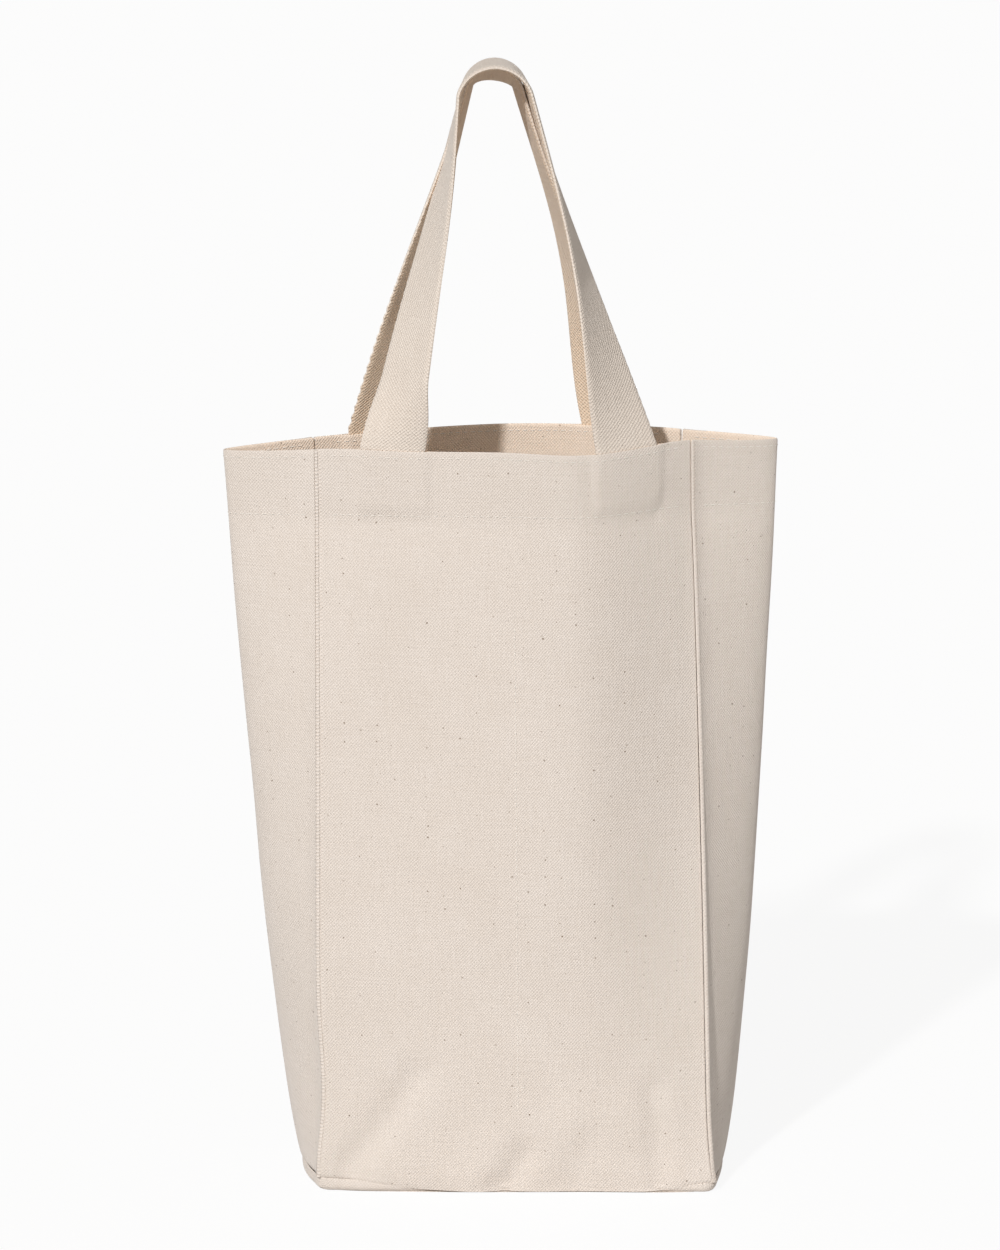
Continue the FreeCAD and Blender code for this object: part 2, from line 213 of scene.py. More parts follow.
@dataclass(frozen=True)
class BagForm:
    """The plan of the bag at each height, by the sizes of its cut cloth in millimetres."""

    stance: Stance = field(default_factory=Stance)
    front_width: float = 172.0
    depth: float = 90.0
    height: float = BAG_HEIGHT
    foot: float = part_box("front_left_seam_thread")[0].z / MM
    hem_depth: float = (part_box("front_facing")[1].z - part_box("front_facing")[0].z) / MM
    cloth: float = 0.8
    ply_gap: float = 0.06
    foot_fold: float = 2.0
    rim_fold: float = 70.0
    fold_power: float = 0.6
    fold_radius: float = 3.0
    belly: float = 3.5
    rim_draw: float = 9.5
    foot_spread: float = 1.2
    foot_flare: float = 3.4
    foot_flare_reach: float = 13.0
    foot_side: float = 93.5
    rim_side: float = 124.4
    side_power: float = 0.58
    rim_welt: float = 0.65
    rim_welt_start: float = 0.4
    foot_welt: float = 0.35
    foot_welt_reach: tuple[float, float] = (4.0, 22.0)
    foot_stand: float = 0.25
    stand_reach: tuple[float, float] = (70.0, 260.0)
    seam_height: float = 4.5
    seam_rise: float = 1.8
    seam_rise_reach: tuple[float, float] = (-92.0, -35.0)
    fold_softness: float = 0.32
    foot_softness: float = 0.9
    foot_softness_reach: float = 50.0

    def seam_z(self, x: np.ndarray) -> np.ndarray:
        """The height of the base's seam, which is drawn up at the left."""
        return self.seam_height + self.seam_rise * (1 - smooth(*self.seam_rise_reach, x))

    def share(self, z: np.ndarray) -> np.ndarray:
        """How far up from the base to the hem a height lies, from 0 to 1."""
        hem = self.height - self.hem_depth
        return np.clip((np.asarray(z, float) - self.foot) / (hem - self.foot), 0, 1)

    def fold(self, z: np.ndarray) -> np.ndarray:
        """The angle at which the gussets fold out at a height, in radians."""
        low, high = math.sin(math.radians(self.foot_fold)), math.sin(math.radians(self.rim_fold))
        return np.arcsin(low + (high - low) * self.share(z) ** self.fold_power)

    def half_gusset(self, z: np.ndarray) -> np.ndarray:
        """Half the gusset's width from corner to fold."""
        return self.depth / 2 + self.fold_radius * (np.tan(self.fold(z)) - self.fold(z))

    def welt_share(self, z: np.ndarray) -> np.ndarray:
        """How far the welts stand up at a height, pressed flatter at the rim and into the base's seam."""
        rim = 1 - (1 - self.rim_welt) * smooth(self.height * self.rim_welt_start, self.height, z)
        return rim - (1 - self.foot_welt) * (1 - smooth(*self.foot_welt_reach, z))

    def corner_y(self, z: np.ndarray) -> np.ndarray:
        """How far the corners lie in front of or behind the middle."""
        return self.half_gusset(z) * np.cos(self.fold(z))

    def sag(self, z: np.ndarray) -> np.ndarray:
        """How far the front and back bulge past their corners."""
        middle = self.depth / 2 + self.belly - (self.belly + self.rim_draw) * self.share(z) ** 3
        return middle - self.corner_y(z)

    def corner_x(self, z: np.ndarray) -> np.ndarray:
        """How far the corners lie to the side of the middle."""
        drawn = self.front_width / 2 - 4 * self.sag(z) ** 2 / (3 * self.front_width)
        flare = self.foot_flare * np.exp(-np.asarray(z, float) / self.foot_flare_reach)
        return drawn + self.foot_spread * (1 - self.share(z)) + flare

    def tip_x(self, z: np.ndarray) -> np.ndarray:
        """How far the gusset's fold lies to the side of the middle."""
        rise = np.clip(np.asarray(z, float) / self.height, 0, 1)
        return self.foot_side + (self.rim_side - self.foot_side) * rise ** self.side_power

    def softness(self, z: np.ndarray) -> np.ndarray:
        """How round the gusset's fold is: small for a crease, large for a bow."""
        return self.fold_softness + self.foot_softness * np.exp(-z / self.foot_softness_reach)

    def gusset_x(self, v: np.ndarray, z: np.ndarray) -> np.ndarray:
        """The gusset's place to the side, from its fold at v 0 to its corner at v 1."""
        soft = self.softness(z)
        out = 1 - (np.hypot(v, soft) - soft) / (np.hypot(1, soft) - soft)
        return self.corner_x(z) + (self.tip_x(z) - self.corner_x(z)) * out

    def welt_way(self, z: np.ndarray) -> np.ndarray:
        """The direction in which a corner's welt stands, halfway between its two cloths."""
        soft = self.softness(z)
        steep = 1 / np.hypot(1, soft) / (np.hypot(1, soft) - soft)
        slope = 2 * self.sag(z) / self.corner_x(z)
        panel = unit(np.stack([slope, np.ones_like(slope)], -1))
        reach = (self.tip_x(z) - self.corner_x(z)) * steep
        gusset = unit(np.stack([self.corner_y(z), reach], -1))
        return unit(panel + gusset)

    def standing(self, z: np.ndarray, stand: float) -> np.ndarray:
        """How far a welt stands at each height: by its own share at the rim and a little more at the foot."""
        return stand + self.foot_stand * (1 - stand) * (1 - smooth(*self.stand_reach, z))

    def corner(self, z: np.ndarray, rise: float, aside: float | np.ndarray) -> np.ndarray:
        """Points of the corner's welt in the quarter with x and y positive.

        Args:
            z: Heights.
            rise: How far out along the welt.
            aside: How far from the seam, positive towards the front or back cloth.

        Returns:
            Flat points, two numbers along the last axis.
        """
        way = self.welt_way(z)
        to_panel = np.stack([-way[..., 1], way[..., 0]], -1)
        start = np.stack([self.corner_x(z), self.corner_y(z)], -1)
        return start + way * rise + to_panel * aside


@dataclass
class ClothGrid:
    """The middle surface of a cloth, as rows from bottom to top and columns across it."""

    points: np.ndarray
    across: np.ndarray
    share: np.ndarray
    bottom: np.ndarray
    top: np.ndarray

    def normals(self) -> np.ndarray:
        """The outward direction at each point."""
        along = np.gradient(self.points, axis=1)
        up = np.gradient(self.points, axis=0)
        return unit(np.cross(along, up))

    def at(self, across: np.ndarray, z: np.ndarray, offset: np.ndarray) -> np.ndarray:
        """Points on the cloth.

        Args:
            across: Flat distances from the cloth's middle in millimetres.
            z: Heights in millimetres.
            offset: How far outwards from the middle surface, in millimetres.

        Returns:
            The points, three numbers along the last axis.
        """
        across, z, offset = np.broadcast_arrays(across, z, offset)
        columns = np.interp(across, self.across, np.arange(len(self.across)))
        low = np.interp(across, self.across, self.bottom)
        high = np.interp(across, self.across, self.top)
        rows = np.interp((z - low) / (high - low), self.share, np.arange(len(self.share)))
        values = np.concatenate([self.points, self.normals()], -1)
        row = np.clip(rows.astype(int), 0, len(self.share) - 2)
        column = np.clip(columns.astype(int), 0, len(self.across) - 2)
        up, along = (rows - row)[..., None], (columns - column)[..., None]
        lower = values[row, column] * (1 - along) + values[row, column + 1] * along
        upper = values[row + 1, column] * (1 - along) + values[row + 1, column + 1] * along
        both = lower * (1 - up) + upper * up
        return both[..., :3] + unit(both[..., 3:]) * offset[..., None]


def mesh_object(name: str, verts: np.ndarray, faces: list, uvs: np.ndarray) -> bpy.types.Object:
    """A smooth mesh object in the scene.

    Args:
        name: The piece's name.
        verts: Points in millimetres.
        faces: Corner lists.
        uvs: The flat cloth coordinates of each point, in millimetres.

    Returns:
        The object.
    """
    mesh = bpy.data.meshes.new(name)
    mesh.from_pydata((verts * MM).tolist(), [], faces)
    layer = mesh.uv_layers.new(name="cloth")
    corners = np.zeros(len(mesh.loops), int)
    mesh.loops.foreach_get("vertex_index", corners)
    layer.data.foreach_set("uv", (uvs[corners] * MM).astype(np.float32).ravel())
    mesh.polygons.foreach_set("use_smooth", [True] * len(mesh.polygons))
    mesh.set_sharp_from_angle(angle=math.radians(SHARP_ANGLE))
    obj = bpy.data.objects.new(name, mesh)
    bpy.context.scene.collection.objects.link(obj)
    return obj


def shell_object(name: str, middle: np.ndarray, thickness: np.ndarray, uv: np.ndarray,
                 closed: bool = False, turned: int = 0) -> bpy.types.Object:
    """A cloth with two faces and all its edges, from its middle surface.

    Args:
        name: The piece's name.
        middle: The middle surface, rows by columns by three, in millimetres.
        thickness: The cloth's thickness at each point.
        uv: The flat cloth coordinates at each point, in millimetres.
        closed: Whether the last column joins the first.
        turned: How many columns at each side are turned out, so that their inner face shows outside.

    Returns:
        The object.
    """
    rows, columns = middle.shape[:2]
    if closed:
        ring = np.concatenate([middle[:, -1:], middle, middle[:, :1]], 1)
        along = np.gradient(ring, axis=1)[:, 1:-1]
    else:
        along = np.gradient(middle, axis=1)
    normal = unit(np.cross(along, np.gradient(middle, axis=0)))
    half = normal * np.broadcast_to(thickness, (rows, columns))[..., None] / 2
    verts = np.concatenate([(middle + half).reshape(-1, 3), (middle - half).reshape(-1, 3)])
    index = np.arange(rows * columns).reshape(rows, columns)
    under = index + rows * columns
    if closed:
        index = np.concatenate([index, index[:, :1]], 1)
        under = np.concatenate([under, under[:, :1]], 1)

    def strip(a: np.ndarray, b: np.ndarray) -> list:
        """Quads between two like lines of points."""
        return np.stack([a[:-1], a[1:], b[1:], b[:-1]], -1).tolist()

    faces = []
    for low, high in zip(index, index[1:]):
        faces += strip(low, high)
    for low, high in zip(under, under[1:]):
        faces += strip(high, low)
    faces += strip(under[0], index[0])
    faces += strip(index[-1], under[-1])
    if not closed:
        faces += strip(index[:, 0], under[:, 0])
        faces += strip(under[:, -1], index[:, -1])
    obj = mesh_object(name, verts, faces, np.concatenate([uv.reshape(-1, 2)] * 2))
    across = index.shape[1] - 1
    inner = np.ones((rows - 1, across), int)
    inner[:, :turned] = 0
    inner[:, across - turned:] = 0
    slots = np.zeros(len(faces), int)
    slots[inner.size:2 * inner.size] = inner.ravel()
    obj.data.polygons.foreach_set("material_index", slots)
    return obj


def sew_to_bag(obj: bpy.types.Object, *nodes: str) -> bpy.types.Object:
    """Makes a piece ride with the bag and stand for its nodes."""
    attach(obj, "bag")
    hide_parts(*nodes)
    return obj


def tube_object(name: str, lines: list, radius: float, sides: int = 6) -> bpy.types.Object:
    """Round threads along lines, tapered at both ends, as one object.

    Args:
        name: The piece's name.
        lines: Each thread's points in millimetres.
        radius: The thread's radius in millimetres.
        sides: How many sides the thread has.

    Returns:
        The object.
    """
    askew = np.array([0.31, 0.87, 0.39])
    tip_share = 0.35
    line_gap = 7.0
    verts, faces, uvs = [], [], []
    turns = np.linspace(0, 2 * math.pi, sides, endpoint=False)
    for number, line in enumerate(lines):
        line = np.asarray(line, float)
        ahead = unit(np.gradient(line, axis=0))
        aside = unit(np.cross(ahead, askew))
        up = np.cross(ahead, aside)
        size = np.full(len(line), radius)
        size[[0, -1]] = radius * tip_share
        ring = aside[:, None] * np.cos(turns)[:, None] + up[:, None] * np.sin(turns)[:, None]
        start = len(verts)
        verts += (line[:, None] + ring * size[:, None, None]).reshape(-1, 3).tolist()
        step = np.concatenate([[0], np.cumsum(np.linalg.norm(np.diff(line, axis=0), axis=1))])
        uvs += [(turn * radius + line_gap * number, s) for s in step for turn in turns]
        for row in range(len(line) - 1):
            for side in range(sides):
                near = start + row * sides + side
                beside = start + row * sides + (side + 1) % sides
                faces.append([near, near + sides, beside + sides, beside])
        faces.append([start + side for side in range(sides)])
        last = start + (len(line) - 1) * sides
        faces.append([last + side for side in reversed(range(sides))])
    return mesh_object(name, np.array(verts), faces, np.array(uvs))


@dataclass(frozen=True)
class Crease:
    """A soft fold in the cloth along a line, in flat cloth millimetres: across and up."""

    start: tuple[float, float]
    end: tuple[float, float]
    width: float
    height: float

    def lift(self, across: np.ndarray, z: np.ndarray) -> np.ndarray:
        """How far the crease lifts the cloth at places on it."""
        a, b = np.array(self.start), np.array(self.end)
        place = np.stack([across, z], -1) - a
        share = np.clip(place @ (b - a) / ((b - a) @ (b - a)), 0, 1)
        away = np.linalg.norm(place - share[..., None] * (b - a), axis=-1)
        return self.height * np.exp(-((away / self.width) ** 2))


@dataclass(frozen=True)
class Webbing:
    """The handles' webbing and where it is sewn in, in millimetres."""

    left: float
    right: float
    width: float = 30.0
    thickness: float = 2.0
    tuck: float = 27.0
    show_through: float = 0.7
    edge: float = 3.0

    def offset(self, hand: Hand) -> float:
        """How far from the panel's middle one end is sewn in."""
        return self.left if hand is Hand.LEFT else self.right

    def cover(self, across: np.ndarray, z: np.ndarray, height: float) -> np.ndarray:
        """How far a cloth lies over the sewn-in ends, from 0 beside them to 1 on them."""
        half = self.width / 2
        beside = np.abs(np.abs(across) - np.where(across < 0, self.left, self.right))
        over = 1 - smooth(half - 0.5, half + self.edge, beside)
        return over * smooth(height - self.tuck - self.edge, height - self.tuck + 1, z)


def bend_to_welt(form: BagForm, start: np.ndarray, ahead: np.ndarray, z: np.ndarray,
                 aside: float | np.ndarray, rises: tuple[float, float], counts: tuple[int, int],
                 stand: np.ndarray, flush: float) -> np.ndarray:
    """The turned edge of a cloth, from the wall round a small bend and out along the welt.

    Args:
        form: The bag's plan.
        start: Where the bend starts at each height, two numbers along the last axis.
        ahead: The direction of the cloth there, towards the corner.
        z: The heights.
        aside: How far the turned edge lies from the seam.
        rises: How far out along the welt the bend ends and the edge ends.
        counts: How many points the bend and the edge have.
        stand: How far this welt stands up at each height, from 0 where it is pressed flat to 1.
        flush: How far a pressed edge rises, to end level with the face of its own cloth.

    Returns:
        Flat points, heights by points by two.
    """
    way = form.welt_way(z)
    foot = form.corner(z, 0.0, aside)
    gap = foot - start
    cross = ahead[..., 0] * way[..., 1] - ahead[..., 1] * way[..., 0]
    reach = (gap[..., 0] * way[..., 1] - gap[..., 1] * way[..., 0]) / cross
    knee = start + ahead * reach[..., None]
    stand = stand[..., None]
    foot = knee + (foot - knee) * stand
    share = form.welt_share(z)[..., None] * stand
    level = flush * (1 - stand)
    bent = 0.6
    end = foot + way * (rises[0] * share + bent * level)
    points = []
    for t in np.linspace(0, 1, counts[0] + 1)[1:]:
        points.append(start * (1 - t) ** 2 + knee * 2 * t * (1 - t) + end * t ** 2)
    for t in np.linspace(0, 1, counts[1] + 1)[1:]:
        rise = (rises[0] + (rises[1] - rises[0]) * t) * share + (bent + (1 - bent) * t) * level
        points.append(foot + way * rise)
    return np.stack(points, -2)


@dataclass
class WallRows:
    """The rows of a wall's grid: even up the cloth, and close at the base's seam and round the rim."""

    count: int = 130
    foot_rows: tuple[float, ...] = (0.0, 0.0012, 0.0026, 0.0045)
    roll: float = 1.0
    roll_reach: float = 1.0
    rim_rows: tuple[float, ...] = (0.0022, 0.0009, 0.0)
    rim_thickness: tuple[float, ...] = (0.92, 0.66, 0.25)

    def shares(self) -> np.ndarray:
        """The rows' places from 0 at the bottom to 1 at the top."""
        even = np.linspace(0, 1, self.count)[1:-1]
        return np.concatenate([self.foot_rows, even, 1 - np.array(self.rim_rows)])

    def rolled(self, rise: np.ndarray) -> np.ndarray:
        """How far the wall rolls inwards at a rise over its lower edge."""
        return self.roll * np.exp(-((rise / self.roll_reach) ** 2))

    def thickness(self) -> np.ndarray:
        """Each row's share of the cloth's thickness, rounded off at the rim."""
        full = np.ones(len(self.foot_rows) + self.count - 2)
        return np.concatenate([full, self.rim_thickness])[:, None]


@dataclass
class Panel:
    """The front or back of the bag: canvas with its side edges turned out into the corner welts."""

    form: BagForm
    side: Side
    webbing: Webbing
    crest: float
    crest_softness: float
    creases: tuple[Crease, ...] = ()
    rows: WallRows = field(default_factory=WallRows)
    crest_rise: float = 90.0
    half_columns: int = 54
    bend_start: float = 1.4
    bend_rise: float = 0.2
    welt_rise: float = 0.5
    wave: float = 70.0
    wave_height: float = 0.5
    wave_seed: float = 3.7
    hem_calm: float = 0.6
    hem_calm_reach: tuple[float, float] = (60.0, 20.0)
    edge_reach: tuple[float, float] = (10.0, 3.0)
    tuck: float = 0.9
    tuck_fall: float = -0.7
    tuck_reach: float = 16.0
    seam_gap: float = 0.35
    floor_gap: float = 0.55
    overhang: tuple[float, float, float, float] | None = None
    stands: tuple[float, float] = (1.0, 1.0)
    lap: float = 1.1
    edge_thickness: float = 0.4
    cloth_place: float = 300.0
    turned_columns: tuple[int, int] = (6, 4)

    def fall(self, across: np.ndarray) -> np.ndarray:
        """How far the cloth falls over the base's seam, from 0 at the seam to 1 on the floor."""
        if self.overhang is None:
            return np.zeros_like(across)
        return smooth(*self.overhang[:2], across) * (1 - smooth(*self.overhang[2:], across))

    def bulge(self, u: np.ndarray, z: np.ndarray) -> np.ndarray:
        """How far the cloth stands out.

        Args:
            u: Places across, from -1 at the left corner to 1 at the right one.
            z: Heights.

        Returns:
            A share from 0 at the corners to 1 at the crest.
        """
        risen = smooth(0, self.crest_rise, z)
        crest = self.crest * risen
        soft = self.crest_softness + 2 * (1 - risen)
        away = np.abs(u - crest) / (1 - crest * np.sign(u - crest))
        return 1 - (np.hypot(away, soft) - soft) / (np.hypot(1, soft) - soft)

    def path(self, z: np.ndarray) -> tuple[np.ndarray, np.ndarray]:
        """The panel's plan.

        Args:
            z: The height of each row.

        Returns:
            Flat points rows by columns by two, and each column's flat distance from the middle.
        """
        form = self.form
        end = 1 - self.bend_start / (form.front_width / 2)
        u = np.linspace(-end, end, 2 * self.half_columns - 1)
        out = form.corner_y(z)[:, None] + form.sag(z)[:, None] * self.bulge(u[None], z[:, None])
        run = np.stack([form.corner_x(z)[:, None] * u, out], -1)
        flip = np.array([-1.0, 1.0])
        left = self.turned_edge(run[:, ::-1] * flip, z, self.stands[0])[:, ::-1] * flip
        right = self.turned_edge(run, z, self.stands[1])
        edge = np.concatenate([run[:, -1:], right], 1)[len(z) // 2]
        steps = end * form.front_width / 2 + np.cumsum(np.linalg.norm(np.diff(edge, axis=0), axis=1))
        flat = np.concatenate([-steps[::-1], u * form.front_width / 2, steps])
        return np.concatenate([left, run, right], 1), flat

    def turned_edge(self, run: np.ndarray, z: np.ndarray, stand: float) -> np.ndarray:
        """The edge past the right end of the panel's run, round into the welt."""
        standing = self.form.standing(z, stand)
        flush = self.form.cloth / 2
        aside = (flush + self.form.ply_gap / 2 - self.lap * (1 - standing))[..., None]
        ahead = unit(run[:, -1] - run[:, -2])
        rises = (self.bend_rise, self.welt_rise)
        columns = self.turned_columns
        return bend_to_welt(self.form, run[:, -1], ahead, z, aside, rises, columns, standing, flush)

    def lift(self, across: np.ndarray, z: np.ndarray, points: np.ndarray) -> np.ndarray:
        """How far the cloth stands out from its plan, by its creases, sewn-in ends and slack."""
        form = self.form
        lift = sum((crease.lift(across, z) for crease in self.creases), np.zeros_like(z))
        lift = lift + self.webbing.cover(across, z, form.height) * self.webbing.show_through
        slack = soft_noise(points, self.wave, self.wave_seed * self.side.value) * self.wave_height
        calm_start, calm_end = [form.height - drop for drop in self.hem_calm_reach]
        slack = slack * (1 - self.hem_calm * smooth(calm_start, calm_end, z))
        edge_start, edge_end = [form.front_width / 2 - inset for inset in self.edge_reach]
        edge = 1 - smooth(edge_start, edge_end, np.abs(across))
        under = 1 - smooth(0, self.tuck_reach, z)
        tuck = under ** 2 * (self.tuck_fall * self.fall(across) - self.tuck)
        return (lift + slack + tuck) * edge

    def grid(self) -> ClothGrid:
        """The panel's middle surface where it stands."""
        form = self.form
        share = self.rows.shares()
        columns = self.path(np.array([form.height / 2]))[1]
        fall = self.fall(columns)
        seam = form.seam_z(-self.side.value * columns) + self.seam_gap
        bottom = seam * (1 - fall) + self.floor_gap * fall
        top = np.full(len(columns), form.height)
        z = bottom + (top - bottom) * share[:, None]
        plan = np.empty(z.shape + (2,))
        for column in range(len(columns)):
            plan[:, column] = self.path(z[:, column])[0][:, column]
        sign = self.side.value
        points = np.stack([-sign * plan[..., 0], sign * plan[..., 1], z], -1)
        cloth = ClothGrid(points, columns, share, bottom, top)
        lift = self.lift(np.broadcast_to(columns, z.shape), z, points)
        lift = lift - self.rows.rolled(z - bottom) * (1 - fall)
        cloth.points = form.stance.place(points + cloth.normals() * lift[..., None])
        return cloth

    def build(self) -> tuple[bpy.types.Object, ClothGrid]:
        """The panel's object and its grid."""
        cloth = self.grid()
        thickness = self.form.cloth * self.rows.thickness() * np.ones(len(cloth.across))
        thickness[:, [0, -1]] *= self.edge_thickness
        place = cloth.across + self.cloth_place * self.side.value
        uv = np.stack(np.broadcast_arrays(place, cloth.points[..., 2]), -1)
        turned = sum(self.turned_columns)
        obj = shell_object(f"{self.side.word}_canvas", cloth.points, thickness, uv, turned=turned)
        return sew_to_bag(obj, f"{self.side.word}_panel"), cloth


@dataclass
class Gusset:
    """A side of the bag: canvas that folds out along its middle, with thick turned edges."""

    form: BagForm
    hand: Hand
    rows: WallRows = field(default_factory=WallRows)
    half_columns: int = 36
    bend_start: float = 9.0
    bend_rise: float = 1.2
    welt_rise: float = 1.9
    welt_thickness: float = 1.9
    turned_columns: tuple[int, int] = (7, 5)
    welt_growth: int = 5
    welt_rounding: tuple[float, ...] = (1.0, 1.0, 1.0, 0.98, 0.9, 0.7, 0.25)
    wave: float = 60.0
    wave_height: float = 0.5
    wave_seed: float = 5.3
    edge_reach: tuple[float, float] = (10.0, 3.0)
    tuck: float = 0.7
    tuck_reach: float = 14.0
    seam_gap: float = 0.25
    cloth_place: float = 700.0
    stands: tuple[float, float] = (1.0, 1.0)

    def path(self, z: np.ndarray) -> tuple[np.ndarray, np.ndarray]:
        """The gusset's plan, as Panel.path gives it: distance across, then outwards."""
        form = self.form
        flush = self.welt_thickness / 2
        aside = -flush - form.ply_gap / 2
        end = 1 - self.bend_start / (form.depth / 2)
        v = np.linspace(0, end, self.half_columns)
        out = form.gusset_x(v[None, :], z[:, None])
        run = np.stack([out, form.corner_y(z)[:, None] * v], -1)
        ahead = unit(run[:, -1] - run[:, -2])
        rises = (self.bend_rise, self.welt_rise)
        halves = []
        for stand in self.stands:
            turned = bend_to_welt(form, run[:, -1], ahead, z, aside, rises, self.turned_columns,
                                  form.standing(z, stand), flush)
            halves.append(np.concatenate([run, turned], 1)[..., ::-1])
        steps = np.linalg.norm(np.diff(halves[1][len(z) // 2], axis=0), axis=1)
        flat = np.concatenate([[0], np.cumsum(steps)])
        plan = np.concatenate([halves[0][:, :0:-1] * np.array([-1.0, 1.0]), halves[1]], 1)
        return plan, np.concatenate([-flat[:0:-1], flat])

    def grid(self) -> ClothGrid:
        """The gusset's middle surface where it stands."""
        form = self.form
        share = self.rows.shares()
        seam = float(form.seam_z(form.foot_side * self.hand.value)) + self.seam_gap
        z = seam + (form.height - seam) * share
        plan, columns = self.path(z)
        heights = np.broadcast_to(z[:, None], plan.shape[:2])
        sign = self.hand.value
        points = np.stack([sign * plan[..., 1], sign * plan[..., 0], heights], -1)
        count = len(columns)
        cloth = ClothGrid(points, columns, share, np.full(count, z[0]), np.full(count, z[-1]))
        across = np.broadcast_to(columns, heights.shape)
        lift = soft_noise(points, self.wave, self.wave_seed + sign) * self.wave_height
        edge_start, edge_end = [form.depth / 2 - inset for inset in self.edge_reach]
        edge = 1 - smooth(edge_start, edge_end, np.abs(across))
        under = 1 - smooth(0, self.tuck_reach, heights)
        tuck = self.tuck * under ** 2 + self.rows.rolled(heights - seam)
        cloth.points = form.stance.place(points + cloth.normals() * ((lift - tuck) * edge)[..., None])
        return cloth

    def build(self) -> tuple[bpy.types.Object, ClothGrid]:
        """The gusset's object and its grid."""
        cloth = self.grid()
        thick = np.full(len(cloth.across), self.form.cloth)
        growing = np.linspace(self.form.cloth, self.welt_thickness, self.welt_growth)
        welt = np.concatenate([growing, self.welt_thickness * np.array(self.welt_rounding)])
        turned = len(welt)
        thick[-turned:] = welt
        thick[:turned] = welt[::-1]
        thickness = self.rows.thickness() * thick
        place = cloth.across + self.cloth_place * self.hand.value
        uv = np.stack(np.broadcast_arrays(place, cloth.points[..., 2]), -1)
        obj = shell_object(f"{self.hand.word}_side_canvas", cloth.points, thickness, uv, turned=turned)
        return sew_to_bag(obj, f"{self.hand.word}_gusset"), cloth


@dataclass
class Base:
    """The base cloth: flat on the floor, with a rounded edge turned up into the walls' seam."""

    form: BagForm
    edge_radius: float = 2.4
    edge_rows: int = 8
    corner_proud: float = 0.4
    front_inset: float = 0.85
    side_inset: float = 0.3
    sunk: float = 2.4
    overhang: tuple[float, float, float, float] = FRONT_OVERHANG
    front_corner: tuple[float, float] = (0.88, 0.97)
    side_corner: tuple[float, float] = (0.78, 0.94)
    rings: int = 12
    hole: float = 0.03
    flat: float = 0.95
    lip_gap: float = 0.3
    lip_round: float = 0.5
    front_points: int = 64
    side_points: int = 34
    corner_passes: int = 3

    def footprint(self) -> np.ndarray:
        """The walls' plan at the base, all round with rounded corners, as flat points."""
        form = self.form
        z = np.array([form.seam_height])
        u = np.linspace(-1, 1, self.front_points, endpoint=False)
        front = np.stack([form.corner_x(z) * u, -form.corner_y(z) - form.sag(z) * (1 - u ** 2)], -1)
        v = np.linspace(-1, 1, self.side_points, endpoint=False)
        right = np.stack([form.gusset_x(np.abs(v), z), form.corner_y(z) * v], -1)
        loop = np.concatenate([front, right, -front, -right])
        for _ in range(self.corner_passes):
            loop = (np.roll(loop, 1, 0) + 2 * loop + np.roll(loop, -1, 0)) / 4
        return loop

    def proud(self) -> np.ndarray:
        """How far the turned-up edge stands out from the walls' plan, all round."""
        u = np.linspace(-1, 1, self.front_points, endpoint=False)
        v = np.linspace(-1, 1, self.side_points, endpoint=False)
        back = self.corner_proud - self.front_inset * (1 - smooth(*self.front_corner, np.abs(u)))
        overhang = np.array(self.overhang) * 2 / self.form.front_width
        front = back - self.sunk * smooth(*overhang[:2], u) * (1 - smooth(*overhang[2:], u))
        right = self.corner_proud - self.side_inset * (1 - smooth(*self.side_corner, np.abs(v)))
        return np.concatenate([front, right, back, right])[:, None]

    def outwards(self, loop: np.ndarray) -> np.ndarray:
        """The outward direction at each point of a loop."""
        ahead = unit(np.roll(loop, -1, 0) - np.roll(loop, 1, 0))
        return np.stack([ahead[:, 1], -ahead[:, 0]], -1)

    def build(self) -> bpy.types.Object:
        """The base's object."""
        form = self.form
        loop, proud = self.footprint(), self.proud()
        out = self.outwards(loop)
        half = form.cloth / 2
        profile = [(scale, 0.0, half) for scale in np.linspace(self.hole, self.flat, self.rings)]
        for turn in np.radians(np.linspace(0, 90, self.edge_rows)):
            inwards = self.edge_radius * (math.sin(turn) - 1) + proud
            profile.append((1.0, inwards, half + self.edge_radius * (1 - math.cos(turn))))
        lip = form.seam_z(loop[:, 0]) - self.lip_gap
        profile.append((1.0, proud, lip - self.lip_round))
        profile.append((1.0, proud - self.lip_round, lip))
        rows = [np.column_stack([loop * scale + out * push, np.broadcast_to(z, len(loop))])
                for scale, push, z in profile]
        middle = form.stance.place(np.array(rows))
        uv = middle[..., :2] + out * middle[..., 2:]
        obj = shell_object("base_canvas", middle, np.full(middle.shape[:2], form.cloth), uv, True)
        close_middle(obj, len(loop), len(rows))
        return sew_to_bag(obj, "base_panel")


def close_middle(obj: bpy.types.Object, count: int, rows: int) -> None:
    """Closes the small hole in the middle of a shell made of rings.

    Args:
        obj: The shell, whose first ring is the hole.
        count: How many points a ring has.
        rows: How many rings each face of the shell has.
    """
    made = bmesh.new()
    made.from_mesh(obj.data)
    made.verts.ensure_lookup_table()
    outer = [made.verts[i] for i in range(count)]
    inner = [made.verts[rows * count + i] for i in range(count)]
    ends = set(outer + inner)
    strip = [face for face in made.faces if ends.issuperset(face.verts)]
    bmesh.ops.delete(made, geom=strip, context="FACES_ONLY")
    made.faces.new(outer[::-1])
    made.faces.new(inner)
    made.to_mesh(obj.data)
    made.free()


